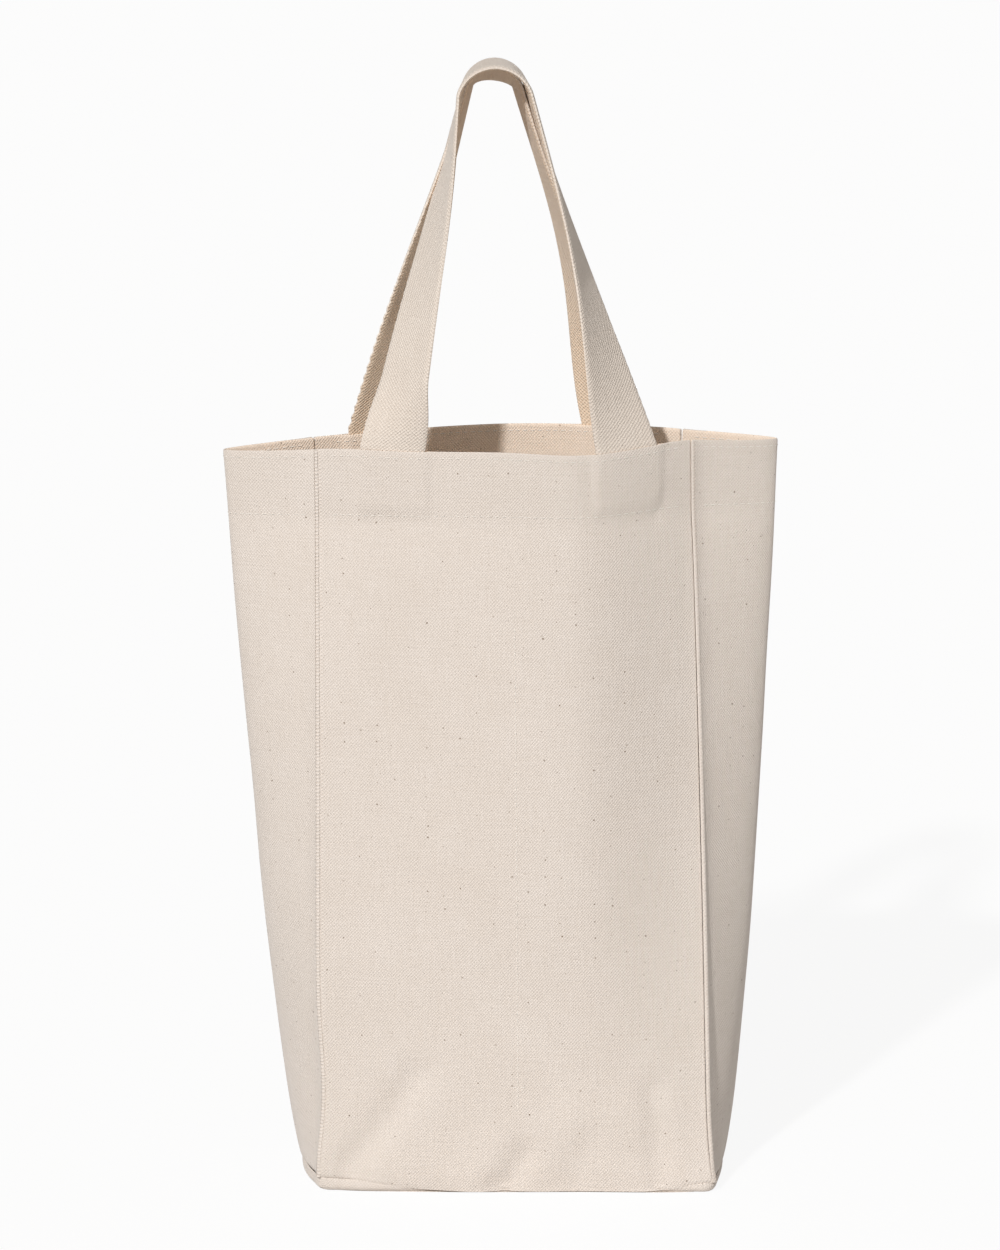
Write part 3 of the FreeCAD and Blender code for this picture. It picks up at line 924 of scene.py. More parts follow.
@dataclass
class Facing:
    """A strip sewn round the inside of the mouth, raised over the handles' sewn-in ends."""

    node: str
    form: BagForm
    cloth: ClothGrid
    reach: float
    straight: float
    webbing: Webbing | None = None
    columns: int = 90
    rows: int = 22
    rim_rows: tuple[float, ...] = (0.985, 0.994, 1.0)
    rim_gap: float = 0.15
    rounding: tuple[float, ...] = (0.5, 0.9, 0.66, 0.3)
    cloth_place: float = 1500.0

    def build(self) -> tuple[bpy.types.Object, ClothGrid]:
        """The facing's object and its grid."""
        form = self.form
        across = np.linspace(-self.reach, self.reach, self.columns)
        share = np.concatenate([np.linspace(0, 1, self.rows)[:-1], self.rim_rows])
        bottom, top = form.height - form.hem_depth, form.height - self.rim_gap
        z = bottom + (top - bottom) * share
        inside = np.full((len(z), len(across)), form.cloth + form.ply_gap)
        if self.webbing:
            cover = self.webbing.cover(across[None], z[:, None], form.height)
            inside = inside + cover * (self.webbing.thickness + form.ply_gap)
        held = np.clip(across, -self.straight, self.straight)
        points = self.cloth.at(held[None], z[:, None], -inside)
        just_before = 0.96
        ahead = unit(points - self.cloth.at(held[None] * just_before, z[:, None], -inside))
        points = points + ahead * np.abs(across - held)[:, None]
        grid = ClothGrid(points, across, share, np.full(len(across), bottom), np.full(len(across), top))
        rounding = np.ones(len(z))
        rounding[[0, -3, -2, -1]] = self.rounding
        thickness = form.cloth * rounding[:, None] * np.ones(len(across))
        uv = np.stack(np.broadcast_arrays(across + self.cloth_place, z[:, None]), -1)
        return sew_to_bag(shell_object(f"{self.node}_canvas", points, thickness, uv), self.node), grid


@dataclass
class Divider:
    """The wall between the bottles, with an upright edge folded and sewn to front and back."""

    form: BagForm
    front: ClothGrid
    back: ClothGrid
    bottom: float = DIVIDER_FOOT
    top: float = DIVIDER_TOP
    flange: float = 9.0
    fold: float = 1.6
    turn_in: tuple[float, float, float] = (-1.2, 1.2, 0.0)
    slack: float = 2.5
    slack_wave: float = 0.022
    droop: float = 4.0
    droop_reach: float = 60.0
    rows: int = 70
    flange_columns: int = 8
    web_columns: int = 46
    edge_thickness: float = 0.5
    cloth_place: float = 2100.0

    def build(self) -> bpy.types.Object:
        """The divider's object."""
        form = self.form
        inside = -(form.cloth + form.ply_gap)
        z = np.linspace(self.bottom, self.top, self.rows)
        flange = np.linspace(self.flange, self.fold, self.flange_columns)
        front = self.front.at(flange[None], z[:, None], inside)
        back = self.back.at(flange[None, ::-1], z[:, None], inside)
        first, last = front[:, -1] + np.array(self.turn_in), back[:, 0] - np.array(self.turn_in)
        t = np.linspace(0, 1, self.web_columns)[None, :, None]
        web = first[:, None] * (1 - t) + last[:, None] * t
        sway = np.sin(self.slack_wave * (z[:, None] - self.bottom))
        web[..., 0] += np.sin(math.pi * t[..., 0]) * self.slack * sway
        middle = np.concatenate([front, web, back], 1)
        droop = np.sin(math.pi * np.linspace(0, 1, middle.shape[1])) ** 2
        top_share = smooth(self.top - self.droop_reach, self.top, z)
        middle[..., 2] -= droop * top_share[:, None] * self.droop
        steps = np.linalg.norm(np.diff(middle, axis=1, prepend=middle[:, :1]), axis=-1)
        place = np.cumsum(steps, 1) + self.cloth_place
        uv = np.stack([place, np.broadcast_to(z[:, None], steps.shape)], -1)
        thickness = np.full(middle.shape[:2], form.cloth)
        thickness[[0, -1]] *= self.edge_thickness
        return sew_to_bag(shell_object("divider_canvas", middle, thickness, uv), "divider_panel")


@dataclass
class StitchRow:
    """A row of lockstitches: short threads that rise from one hole and sink into the next."""

    pitch: float = 3.5
    length: float = 2.7
    radius: float = 0.22
    sink: float = 0.2
    crown: tuple[float, float, float] = (0.02, 0.08, 0.02)

    def lines(self, curve: Callable[[np.ndarray, float], np.ndarray], reach: tuple[float, float]) -> list:
        """The threads of a row.

        Args:
            curve: Gives points on the cloth for distances along the row and an offset.
            reach: The distances at which the row starts and ends.

        Returns:
            Each thread's points in millimetres.
        """
        count = max(1, int((reach[1] - reach[0]) / self.pitch))
        starts = reach[0] + (np.arange(count) + 0.5) * (reach[1] - reach[0]) / count
        rises = np.array([-self.sink, *self.crown, -self.sink])
        threads = []
        for start in starts:
            stops = start + np.linspace(-0.5, 0.5, len(rises)) * self.length
            threads.append(np.array([curve(np.array([s]), r)[0] for s, r in zip(stops, rises)]))
        return threads


@dataclass
class Sewing:
    """All the thread of the bag: rows that show on the cloth and seams inside the welts."""

    form: BagForm
    panels: dict[Side, ClothGrid]
    gussets: dict[Hand, ClothGrid]
    facings: dict[Wall, ClothGrid]
    row: StitchRow = field(default_factory=StitchRow)
    rim_drop: float = 3.0
    hem_drop: float = 29.0
    panel_reach: float = 80.5
    panel_facing_reach: float = 76.5
    gusset_reach: float = 44.0
    gusset_facing_reach: float = 41.0
    divider_aside: float = 2.0
    divider_inset: float = 2.0
    bar_rise: float = 12.0
    bar_reach: tuple[float, float] = (-3.0, 4.0)
    seam_rise: float = -0.3
    seam_radius: float = 0.22
    seam_foot: float = 2.0
    seam_drop: float = 1.0
    seam_points: int = 90
    base_inset: float = 0.9
    base_drop: float = 1.2

    def level_row(self, cloth: ClothGrid, drop: float, reach: float, face: float) -> list:
        """The threads of a row at a drop below the rim, on one face of a cloth."""
        z = self.form.height - drop
        return self.row.lines(
            lambda s, rise: cloth.at(s, np.full_like(s, z), face * (self.form.cloth / 2 + rise)),
            (-reach, reach),
        )

    def build(self) -> list[bpy.types.Object]:
        """Every thread piece of the bag."""
        pieces = []
        for side in Side:
            pieces += self.mouth_rows(side, self.panels[side], self.panel_reach, self.panel_facing_reach)
            pieces.append(self.divider_row(side))
        for hand in Hand:
            pieces += self.mouth_rows(hand, self.gussets[hand], self.gusset_reach, self.gusset_facing_reach)
        for side in Side:
            for hand in Hand:
                pieces.append(self.corner_seam(side, hand))
        pieces.append(self.base_seam())
        return pieces

    def mouth_rows(
        self, wall: Wall, cloth: ClothGrid, reach: float, facing_reach: float
    ) -> list[bpy.types.Object]:
        """The rim's and the hem's stitches on a wall, outside on its cloth and inside on its facing."""
        pieces = []
        for kind, drop in (("rim", self.rim_drop), ("hem", self.hem_drop)):
            lines = self.level_row(cloth, drop, reach, 1)
            lines += self.level_row(self.facings[wall], drop, facing_reach, -1)
            pieces.append(self.stitches(f"{wall.word}_{kind}_stitches", lines))
        return pieces

    def stitches(self, node: str, lines: list) -> bpy.types.Object:
        """One piece of all the threads that stand for a node."""
        return sew_to_bag(tube_object(f"{node}_thread", lines, self.row.radius), node)

    def divider_row(self, side: Side) -> bpy.types.Object:
        """The upright row through the divider's folded edge, with a bar across its lower end."""
        cloth = self.panels[side]
        half = self.form.cloth / 2
        aside = self.divider_aside
        lines = self.row.lines(
            lambda s, rise: cloth.at(np.full_like(s, aside), s, half + rise),
            (DIVIDER_FOOT + self.divider_inset, DIVIDER_TOP - self.divider_inset),
        )
        bar_z = DIVIDER_FOOT + self.bar_rise
        lines += self.row.lines(
            lambda s, rise: cloth.at(s, np.full_like(s, bar_z), half + rise),
            (aside + self.bar_reach[0], aside + self.bar_reach[1]),
        )
        return self.stitches(f"{side.word}_divider_stitches", lines)

    def corner_seam(self, side: Side, hand: Hand) -> bpy.types.Object:
        """The thread between the two plies of a corner's welt."""
        form = self.form
        z = np.linspace(form.foot + self.seam_foot, form.height - self.seam_drop, self.seam_points)
        flat = form.corner(z, self.seam_rise, 0.0)
        points = np.column_stack([hand.value * flat[:, 0], side.value * flat[:, 1], z])
        name = f"{side.word}_{hand.word}_seam_thread"
        line = form.stance.place(points)
        return sew_to_bag(tube_object(f"{name}_line", [line], self.seam_radius), name)

    def base_seam(self) -> bpy.types.Object:
        """The thread of the base's seam, all round inside the lip."""
        base = Base(self.form)
        loop = base.footprint()
        loop = loop + base.outwards(loop) * (base.proud() - self.base_inset)
        loop = np.concatenate([loop, loop[:1]])
        z = self.form.seam_z(loop[:, 0]) - self.base_drop
        line = self.form.stance.place(np.column_stack([loop, z]))
        return sew_to_bag(tube_object("base_seam_line", [line], self.seam_radius), "base_seam_thread")


@dataclass
class Handle:
    """A webbing handle: sewn-in ends, two legs that lean in and twist, and the arch between."""

    form: BagForm
    side: Side
    cloth: ClothGrid
    webbing: Webbing
    arch_radius: float
    rise: float
    arch_turns: tuple[float, float]
    arch_cones: tuple[float, float, float]
    twist_powers: tuple[float, float]
    bows: tuple[float, float]
    sways: tuple[float, float]
    flares: tuple[float, float]
    selvedge_depth: float
    selvedge_pitch: float = 4.8
    selvedge_width: tuple[float, float] = (0.86, 1.0)
    selvedge_reach: tuple[float, float] = (90.0, 140.0)
    edge_round: tuple[float, float] = (0.93, 1.005)
    thinnest: float = 0.08
    flare_reach: float = 0.22
    arch_offset: float = 10.0
    rim_gap: float = 0.6
    columns: int = 25
    leg_points: int = 96
    arch_points: int = 40
    end_rows: int = 20
    fade_rows: int = 30
    even_rows: int = 300
    cloth_place: float = 40.0
    bend_reach: tuple[float, float] = (-2.0, 26.0)

    def cone(self, share: np.ndarray) -> np.ndarray:
        """How far in the arch's narrower edge leans at its sides, from the left at 0 to the right at 1."""
        left, _, right = self.arch_cones
        return np.radians(left + (right - left) * share)

    def dip(self) -> float:
        """How far down the arch's narrower edge leans at its top."""
        return math.radians(self.arch_cones[1])

    def radius(self, lean: np.ndarray) -> np.ndarray:
        """The reach of the arch's middle line where its narrower edge leans in by an angle."""
        return self.arch_radius - self.webbing.width / 2 * np.sin(np.abs(lean))

    def leg_rows(self, hand: Hand) -> tuple[np.ndarray, np.ndarray]:
        """One leg from the rim up to the arch.

        Args:
            hand: Which leg.

        Returns:
            The centre line and the direction of the width, outwards at the rim.
        """
        form, side, sign = self.form, self.side.value, hand.value
        foot_in = form.cloth / 2 + form.ply_gap + self.webbing.thickness / 2 - self.webbing.show_through
        u = self.webbing.offset(hand) / (form.front_width / 2)
        top = np.array([form.height])
        corner_x, corner_y, sag = form.corner_x(top)[0], form.corner_y(top)[0], form.sag(top)[0]
        foot_x = corner_x * u
        foot_y = corner_y + sag * (1 - u ** 2) - foot_in
        foot_turn = math.atan2(2 * sag * u, corner_x)
        right = hand is Hand.RIGHT
        cone = float(self.cone(float(right)))
        radius = float(self.radius(cone))
        arch_rise = self.rise - self.arch_radius
        reach = math.hypot(foot_x, arch_rise)
        start = math.atan2(-arch_rise, foot_x) + math.acos(radius / reach)
        leg_x = radius * math.cos(start)
        leg_z = arch_rise + float(self.radius(self.dip())) * math.sin(start)
        share = np.linspace(0, 1, self.leg_points)
        lean = (1 - np.cos(math.pi * share)) / 2
        x = foot_x + (leg_x - foot_x) * share + self.bows[right] * np.sin(math.pi * share) ** 2
        x = x + self.sways[right] * np.sin(2 * math.pi * share)
        y = foot_y + (self.arch_offset - foot_y) * lean
        flare = self.flares[right] * (1 - smooth(0, self.flare_reach, share))
        twist = flare + (1 - self.flares[right]) * (1 - share) ** self.twist_powers[right]
        turn = math.pi / 2 - (math.pi / 2 - foot_turn) * twist
        turn = turn - cone * share ** 2
        centre = np.column_stack([sign * x, side * y, form.height + leg_z * share])
        rise = math.sin(self.dip()) * math.tan(start) * share ** 2
        width = unit(np.column_stack([sign * np.cos(turn), -side * np.sin(turn), rise]))
        return centre, self.turned(width, self.arch_turns[right] * share ** 2)

    def turned(self, width: np.ndarray, degrees: np.ndarray) -> np.ndarray:
        """The width's directions turned about the upright by angles."""
        turn = np.radians(degrees)
        cos, sin = np.cos(turn), np.sin(turn)
        x, y, up = width.T
        return np.column_stack([x * cos - y * sin, x * sin + y * cos, up])

    def arch_rows(self) -> tuple[np.ndarray, np.ndarray]:
        """The arch from the left leg to the right one, as leg_rows gives a leg."""
        form = self.form
        middle = form.height + self.rise - self.arch_radius
        count = self.arch_points
        cone = self.cone(np.linspace(0, 1, count))
        wide, high = self.radius(cone), float(self.radius(self.dip()))
        first, last = [self.leg_rows(hand)[0][-1] for hand in (Hand.LEFT, Hand.RIGHT)]
        start = math.atan2((first[2] - middle) / high, first[0] / wide[0])
        end = math.atan2((last[2] - middle) / high, last[0] / wide[-1])
        turns = np.linspace(start, end, count)
        cos, sin = np.cos(turns), np.sin(turns)
        offset = np.full(count, self.side.value * self.arch_offset)
        centre = np.column_stack([wide * cos, offset, middle + high * sin])
        x, z = np.sin(cone) * cos, math.sin(self.dip()) * sin
        width = np.column_stack([x, -self.side.value * np.sqrt(1 - x ** 2 - z ** 2), z])
        return centre[1:-1], self.turned(width, np.linspace(*self.arch_turns, count))[1:-1]

    def ribbon(self) -> np.ndarray:
        """The webbing's middle surface from one sewn-in end to the other."""
        form, stance = self.form, self.form.stance
        across = np.linspace(-1, 1, self.columns) * self.webbing.width / 2
        left, left_width = self.leg_rows(Hand.LEFT)
        arch, arch_width = self.arch_rows()
        right, right_width = self.leg_rows(Hand.RIGHT)
        centre = np.concatenate([left, arch, right[::-1]])
        width = np.concatenate([left_width, arch_width, right_width[::-1]])
        legs = stance.place(centre)[:, None] + stance.swing(width, centre[:, 2])[:, None] * across[:, None]
        inside = -(form.cloth / 2 + form.ply_gap + self.webbing.thickness / 2)
        z = form.height - np.linspace(self.webbing.tuck, self.rim_gap, self.end_rows)
        facing = -self.side.value
        ends = {}
        for hand in Hand:
            place = facing * hand.value * (self.webbing.offset(hand) + across)
            ends[hand] = self.cloth.at(place[None], z[:, None], inside)
        rows = self.fade_rows
        fade = np.linspace(1, 0, rows)[:, None, None] ** 2
        level = np.array([1, 1, 0])
        legs[:rows] += (ends[Hand.LEFT][-1] - legs[0]) * fade * level
        legs[-rows:] += (ends[Hand.RIGHT][-1] - legs[-1]) * fade[::-1] * level
        return np.concatenate([ends[Hand.LEFT], legs[1:-1], ends[Hand.RIGHT][::-1]])

    def build(self) -> bpy.types.Object:
        """The handle's object."""
        middle = self.ribbon()
        columns, centre = self.columns, self.columns // 2
        steps = np.linalg.norm(np.diff(middle[:, centre], axis=0), axis=-1)
        length = np.concatenate([[0], np.cumsum(steps)])
        even = np.linspace(0, length[-1], self.even_rows)
        middle = np.stack([[np.interp(even, length, middle[:, column, axis]) for axis in range(3)]
                           for column in range(columns)], 0).transpose(2, 0, 1)
        w = np.linspace(-1, 1, columns)
        calm_start, calm_end = [self.form.height + rise for rise in self.selvedge_reach]
        low = 1 - smooth(calm_start, calm_end, middle[:, centre, 2])
        scallop = np.sin(2 * math.pi * even / self.selvedge_pitch) * self.selvedge_depth * low
        edge = smooth(*self.selvedge_width, w)
        along = unit(np.gradient(middle, axis=1))
        middle = middle + along * (scallop[:, None] * edge)[..., None]
        round_start, round_end = self.edge_round
        past = np.clip((np.abs(w) - round_start) / (round_end - round_start), 0, 1)
        rounding = np.sqrt(np.clip(1 - past ** 2, self.thinnest, 1))
        thickness = self.webbing.thickness * np.broadcast_to(rounding, (len(even), columns))
        across = w * self.webbing.width / 2 + self.cloth_place * self.side.value
        uv = np.stack(np.broadcast_arrays(across, even[:, None]), -1)
        if self.side is Side.FRONT:
            middle, thickness, uv = middle[:, ::-1], thickness[:, ::-1], uv[:, ::-1]
        name = f"{self.side.word}_handle"
        obj = shell_object(f"{name}_webbing", middle, thickness, uv)
        low, high = [(self.form.height + z) * MM for z in self.bend_reach]
        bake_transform(obj)
        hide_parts(f"{name}_strap", f"{name}_strap_ends")
        return obj


class NodeMaker:
    """A short way to add and join the nodes of one material."""

    def __init__(self, name: str) -> None:
        """Starts a material with an output and a principled shader."""
        self.material = bpy.data.materials.new(name)
        self.material.use_nodes = True
        self.tree = self.material.node_tree
        self.shader = self.tree.nodes["Principled BSDF"]

    def node(self, kind: str, settings: dict | None = None, **inputs: object) -> bpy.types.Node:
        """A node of a kind, with its settings and its inputs.

        Args:
            kind: The node's type.
            settings: Values of the node's own properties.
            **inputs: Values or sockets by the input's name, or by its number as i0, i1 and so on.

        Returns:
            The node.
        """
        made = self.tree.nodes.new(kind)
        for name, value in (settings or {}).items():
            setattr(made, name, value)
        for name, value in inputs.items():
            key = int(name[1:]) if name[0] == "i" and name[1:].isdigit() else name.replace("_", " ")
            self.join(value, made.inputs[key])
        return made

    def join(self, value: object, socket: bpy.types.NodeSocket) -> None:
        """Gives a socket a value, or a link from another socket."""
        if isinstance(value, bpy.types.NodeSocket):
            self.tree.links.new(value, socket)
        else:
            socket.default_value = value

    def math(self, operation: str, *values: object) -> bpy.types.NodeSocket:
        """The result of a math node on values or sockets."""
        numbered = {f"i{i}": value for i, value in enumerate(values)}
        return self.node("ShaderNodeMath", {"operation": operation}, **numbered).outputs[0]

    def mix(self, share: object, low: object, high: object) -> bpy.types.NodeSocket:
        """A colour between two colours."""
        made = self.node("ShaderNodeMix", {"data_type": "RGBA"})
        self.join(share, made.inputs[0])
        self.join(low, made.inputs[6])
        self.join(high, made.inputs[7])
        return made.outputs[2]

    def blend(self, *parts: tuple[bpy.types.NodeSocket, float]) -> bpy.types.NodeSocket:
        """The sum of two sockets, each times its weight."""
        return self.math("ADD", *[self.math("MULTIPLY", socket, weight) for socket, weight in parts])

    def finish(self, values: dict[str, object]) -> bpy.types.Material:
        """The material, with values or links for its shader's sockets."""
        for name, value in values.items():
            self.join(value, self.shader.inputs[name])
        return self.material

    def ramp(self, value: object, low: float, high: float) -> bpy.types.NodeSocket:
        """A smooth step of a value from 0 at low to 1 at high."""
        made = self.node("ShaderNodeMapRange", {"interpolation_type": "SMOOTHSTEP"}, Value=value)
        made.inputs["From Min"].default_value = low
        made.inputs["From Max"].default_value = high
        return made.outputs[0]


@dataclass(frozen=True)
class WovenFinish:
    """An undyed cotton weave: crossing threads, slubs, uneven colour, seed flecks and painted shade between
    the threads.

    Lengths are in millimetres of flat cloth and colours are linear.
    """

    name: str
    pale: tuple[float, float, float, float]
    warm: tuple[float, float, float, float]
    fleck: tuple[float, float, float, float]
    warp_pitch: float
    weft_pitch: float
    weave_depth: float
    fleck_cell: float
    fleck_size: float
    fleck_edge: float = 0.18
    fleck_strengths: tuple[float, float] = (0.25, 0.6)
    small_fleck: float = 0.55
    small_fleck_place: float = 37.0
    thread_drift: float = 0.55
    drift_grain: float = 0.35
    slub_grain: tuple[float, float] = (1.1, 0.06)
    patch_grain: float = 0.03
    slub_tone: float = 0.35
    patch_tone: float = 0.3
    # How far the colour turns warm and dark where the weave dips: painted shade between the threads
    weave_painted_shade: float = 0.24
    tone_reach: tuple[float, float] = (0.25, 0.75)
    weave_height: float = 0.5
    slub_height: float = 0.6
    sheen: float = 0.25
    sheen_roughness: float = 0.5
    roughness: float = 0.92
    gloss: float = 0.2

    def material(self) -> bpy.types.Material:
        """The finish as a material."""
        maker = NodeMaker(self.name)
        cloth = maker.node("ShaderNodeUVMap", {"uv_map": "cloth"}).outputs[0]
        flat = maker.node("ShaderNodeVectorMath", {"operation": "SCALE"}, i0=cloth, Scale=1 / MM).outputs[0]
        wander = self.stretched_noise(maker, flat, (1.0, 1.0), self.drift_grain, 2)
        split = maker.node("ShaderNodeSeparateXYZ", Vector=flat)
        drift = maker.math("MULTIPLY", maker.math("SUBTRACT", wander, 0.5), self.thread_drift)
        warp = self.thread_wave(maker, maker.math("ADD", split.outputs[0], drift), self.warp_pitch)
        weft = self.thread_wave(maker, maker.math("ADD", split.outputs[1], drift), self.weft_pitch)
        weave = maker.math("MULTIPLY", warp, weft)
        slub_up = self.stretched_noise(maker, flat, self.slub_grain, 1.0, 2)
        slub_along = self.stretched_noise(maker, flat, self.slub_grain[::-1], 1.0, 2)
        slub = maker.math("ADD", slub_up, slub_along)
        patch = self.stretched_noise(maker, flat, (self.patch_grain, self.patch_grain), 1.0, 3)
        tone = maker.blend((slub, self.slub_tone), (patch, self.patch_tone))
        # Painted shade: the colour darkens between the threads
        tone = maker.math("ADD", tone, maker.math("MULTIPLY", weave, self.weave_painted_shade))
        colour = maker.mix(maker.ramp(tone, *self.tone_reach), self.warm, self.pale)
        for share, seed in ((1.0, 0.0), (self.small_fleck, self.small_fleck_place)):
            specks = self.flecks(maker, flat, self.fleck_cell * share, self.fleck_size * share, seed)
            colour = maker.mix(specks, colour, self.fleck)
        height = maker.blend((weave, self.weave_height), (slub, self.slub_height))
        bump = maker.node("ShaderNodeBump", Height=height, Strength=1.0, Distance=self.weave_depth * MM)
        return maker.finish({
            "Base Color": colour,
            "Normal": bump.outputs[0],
            "Roughness": self.roughness,
            "Sheen Weight": self.sheen,
            "Sheen Roughness": self.sheen_roughness,
            "Specular IOR Level": self.gloss,
        })

    def thread_wave(
        self, maker: NodeMaker, place: bpy.types.NodeSocket, pitch: float
    ) -> bpy.types.NodeSocket:
        """The rise and fall of threads that lie a pitch apart."""
        return maker.math("SINE", maker.math("MULTIPLY", place, math.pi / pitch))

    def stretched_noise(self, maker: NodeMaker, flat: bpy.types.NodeSocket, scale: tuple[float, float],
                        fine: float, detail: float) -> bpy.types.NodeSocket:
        """Noise that is drawn out along the cloth's threads, by its scale across and up."""
        size = (scale[0], scale[1], 1.0)
        drawn = maker.node("ShaderNodeVectorMath", {"operation": "MULTIPLY"}, i0=flat, i1=size).outputs[0]
        made = maker.node("ShaderNodeTexNoise", Vector=drawn, Scale=fine, Detail=detail)
        return made.outputs[0]

    def flecks(self, maker: NodeMaker, flat: bpy.types.NodeSocket, cell: float, size: float,
               seed: float) -> bpy.types.NodeSocket:
        """Where small bits of seed lie: about one to a cell, each of its own size and some missing."""
        step = (seed, seed, 0)
        moved = maker.node("ShaderNodeVectorMath", {"operation": "ADD"}, i0=flat, i1=step).outputs[0]
        seeds = maker.node("ShaderNodeTexVoronoi", {"voronoi_dimensions": "2D"}, Vector=moved, Scale=1 / cell)
        own = maker.node("ShaderNodeSeparateColor", Color=seeds.outputs["Color"])
        reach = maker.math("MULTIPLY", maker.math("POWER", own.outputs[0], 2.0), size / cell)
        near = maker.math("SUBTRACT", reach, seeds.outputs["Distance"])
        least, more = self.fleck_strengths
        strength = maker.math("ADD", maker.math("MULTIPLY", own.outputs[1], more), least)
        return maker.math("MULTIPLY", maker.ramp(near, 0.0, self.fleck_edge / cell), strength)


@dataclass(frozen=True)
class ThreadFinish:
    """Pale cotton sewing thread with a twist along it, painted darker in the twist's grooves."""

    name: str = "sewing_thread"
    colour: tuple[float, float, float, float] = (0.87, 0.82, 0.76, 1)
    # The thread's colour in the twist's grooves: painted shade
    groove_painted_shade: tuple[float, float, float, float] = (0.79, 0.73, 0.66, 1)
    twist_pitch: float = 0.5
    twist_depth: float = 0.05
    twist_strength: float = 0.6
    groove_shade_reach: tuple[float, float] = (-1.0, 0.6)
    roughness: float = 0.7
    sheen: float = 0.3

    def material(self) -> bpy.types.Material:
        """The finish as a material."""
        maker = NodeMaker(self.name)
        cloth = maker.node("ShaderNodeUVMap", {"uv_map": "cloth"}).outputs[0]
        split = maker.node("ShaderNodeSeparateXYZ", Vector=cloth)
        lay = maker.math("ADD", split.outputs[0], split.outputs[1])
        ply = maker.math("SINE", maker.math("MULTIPLY", lay, 2 * math.pi / (self.twist_pitch * MM)))
        # Painted shade: the colour darkens in the twist's grooves
        colour = maker.mix(maker.ramp(ply, *self.groove_shade_reach), self.groove_painted_shade, self.colour)
        depth = self.twist_depth * MM
        bump = maker.node("ShaderNodeBump", Height=ply, Strength=self.twist_strength, Distance=depth)
        return maker.finish({
            "Base Color": colour,
            "Normal": bump.outputs[0],
            "Roughness": self.roughness,
            "Sheen Weight": self.sheen,
        })


@dataclass(frozen=True)
class Lamp:
    """Light from one direction: angles in degrees, seen from the front."""

    name: str
    strength: float
    azimuth: float
    elevation: float
    spread: float

    def build(self, distance: float) -> None:
        """Makes the lamp at a distance, turned towards the bag."""
        lamp = bpy.data.lights.new(self.name, "SUN")
        lamp.energy = self.strength
        lamp.angle = math.radians(self.spread)
        obj = bpy.data.objects.new(self.name, lamp)
        turn, up = math.radians(self.azimuth), math.radians(self.elevation)
        way = Vector((math.sin(turn) * math.cos(up), -math.cos(turn) * math.cos(up), math.sin(up)))
        obj.location = way * distance
        obj.rotation_euler = way.to_track_quat("Z", "Y").to_euler()
        bpy.context.scene.collection.objects.link(obj)


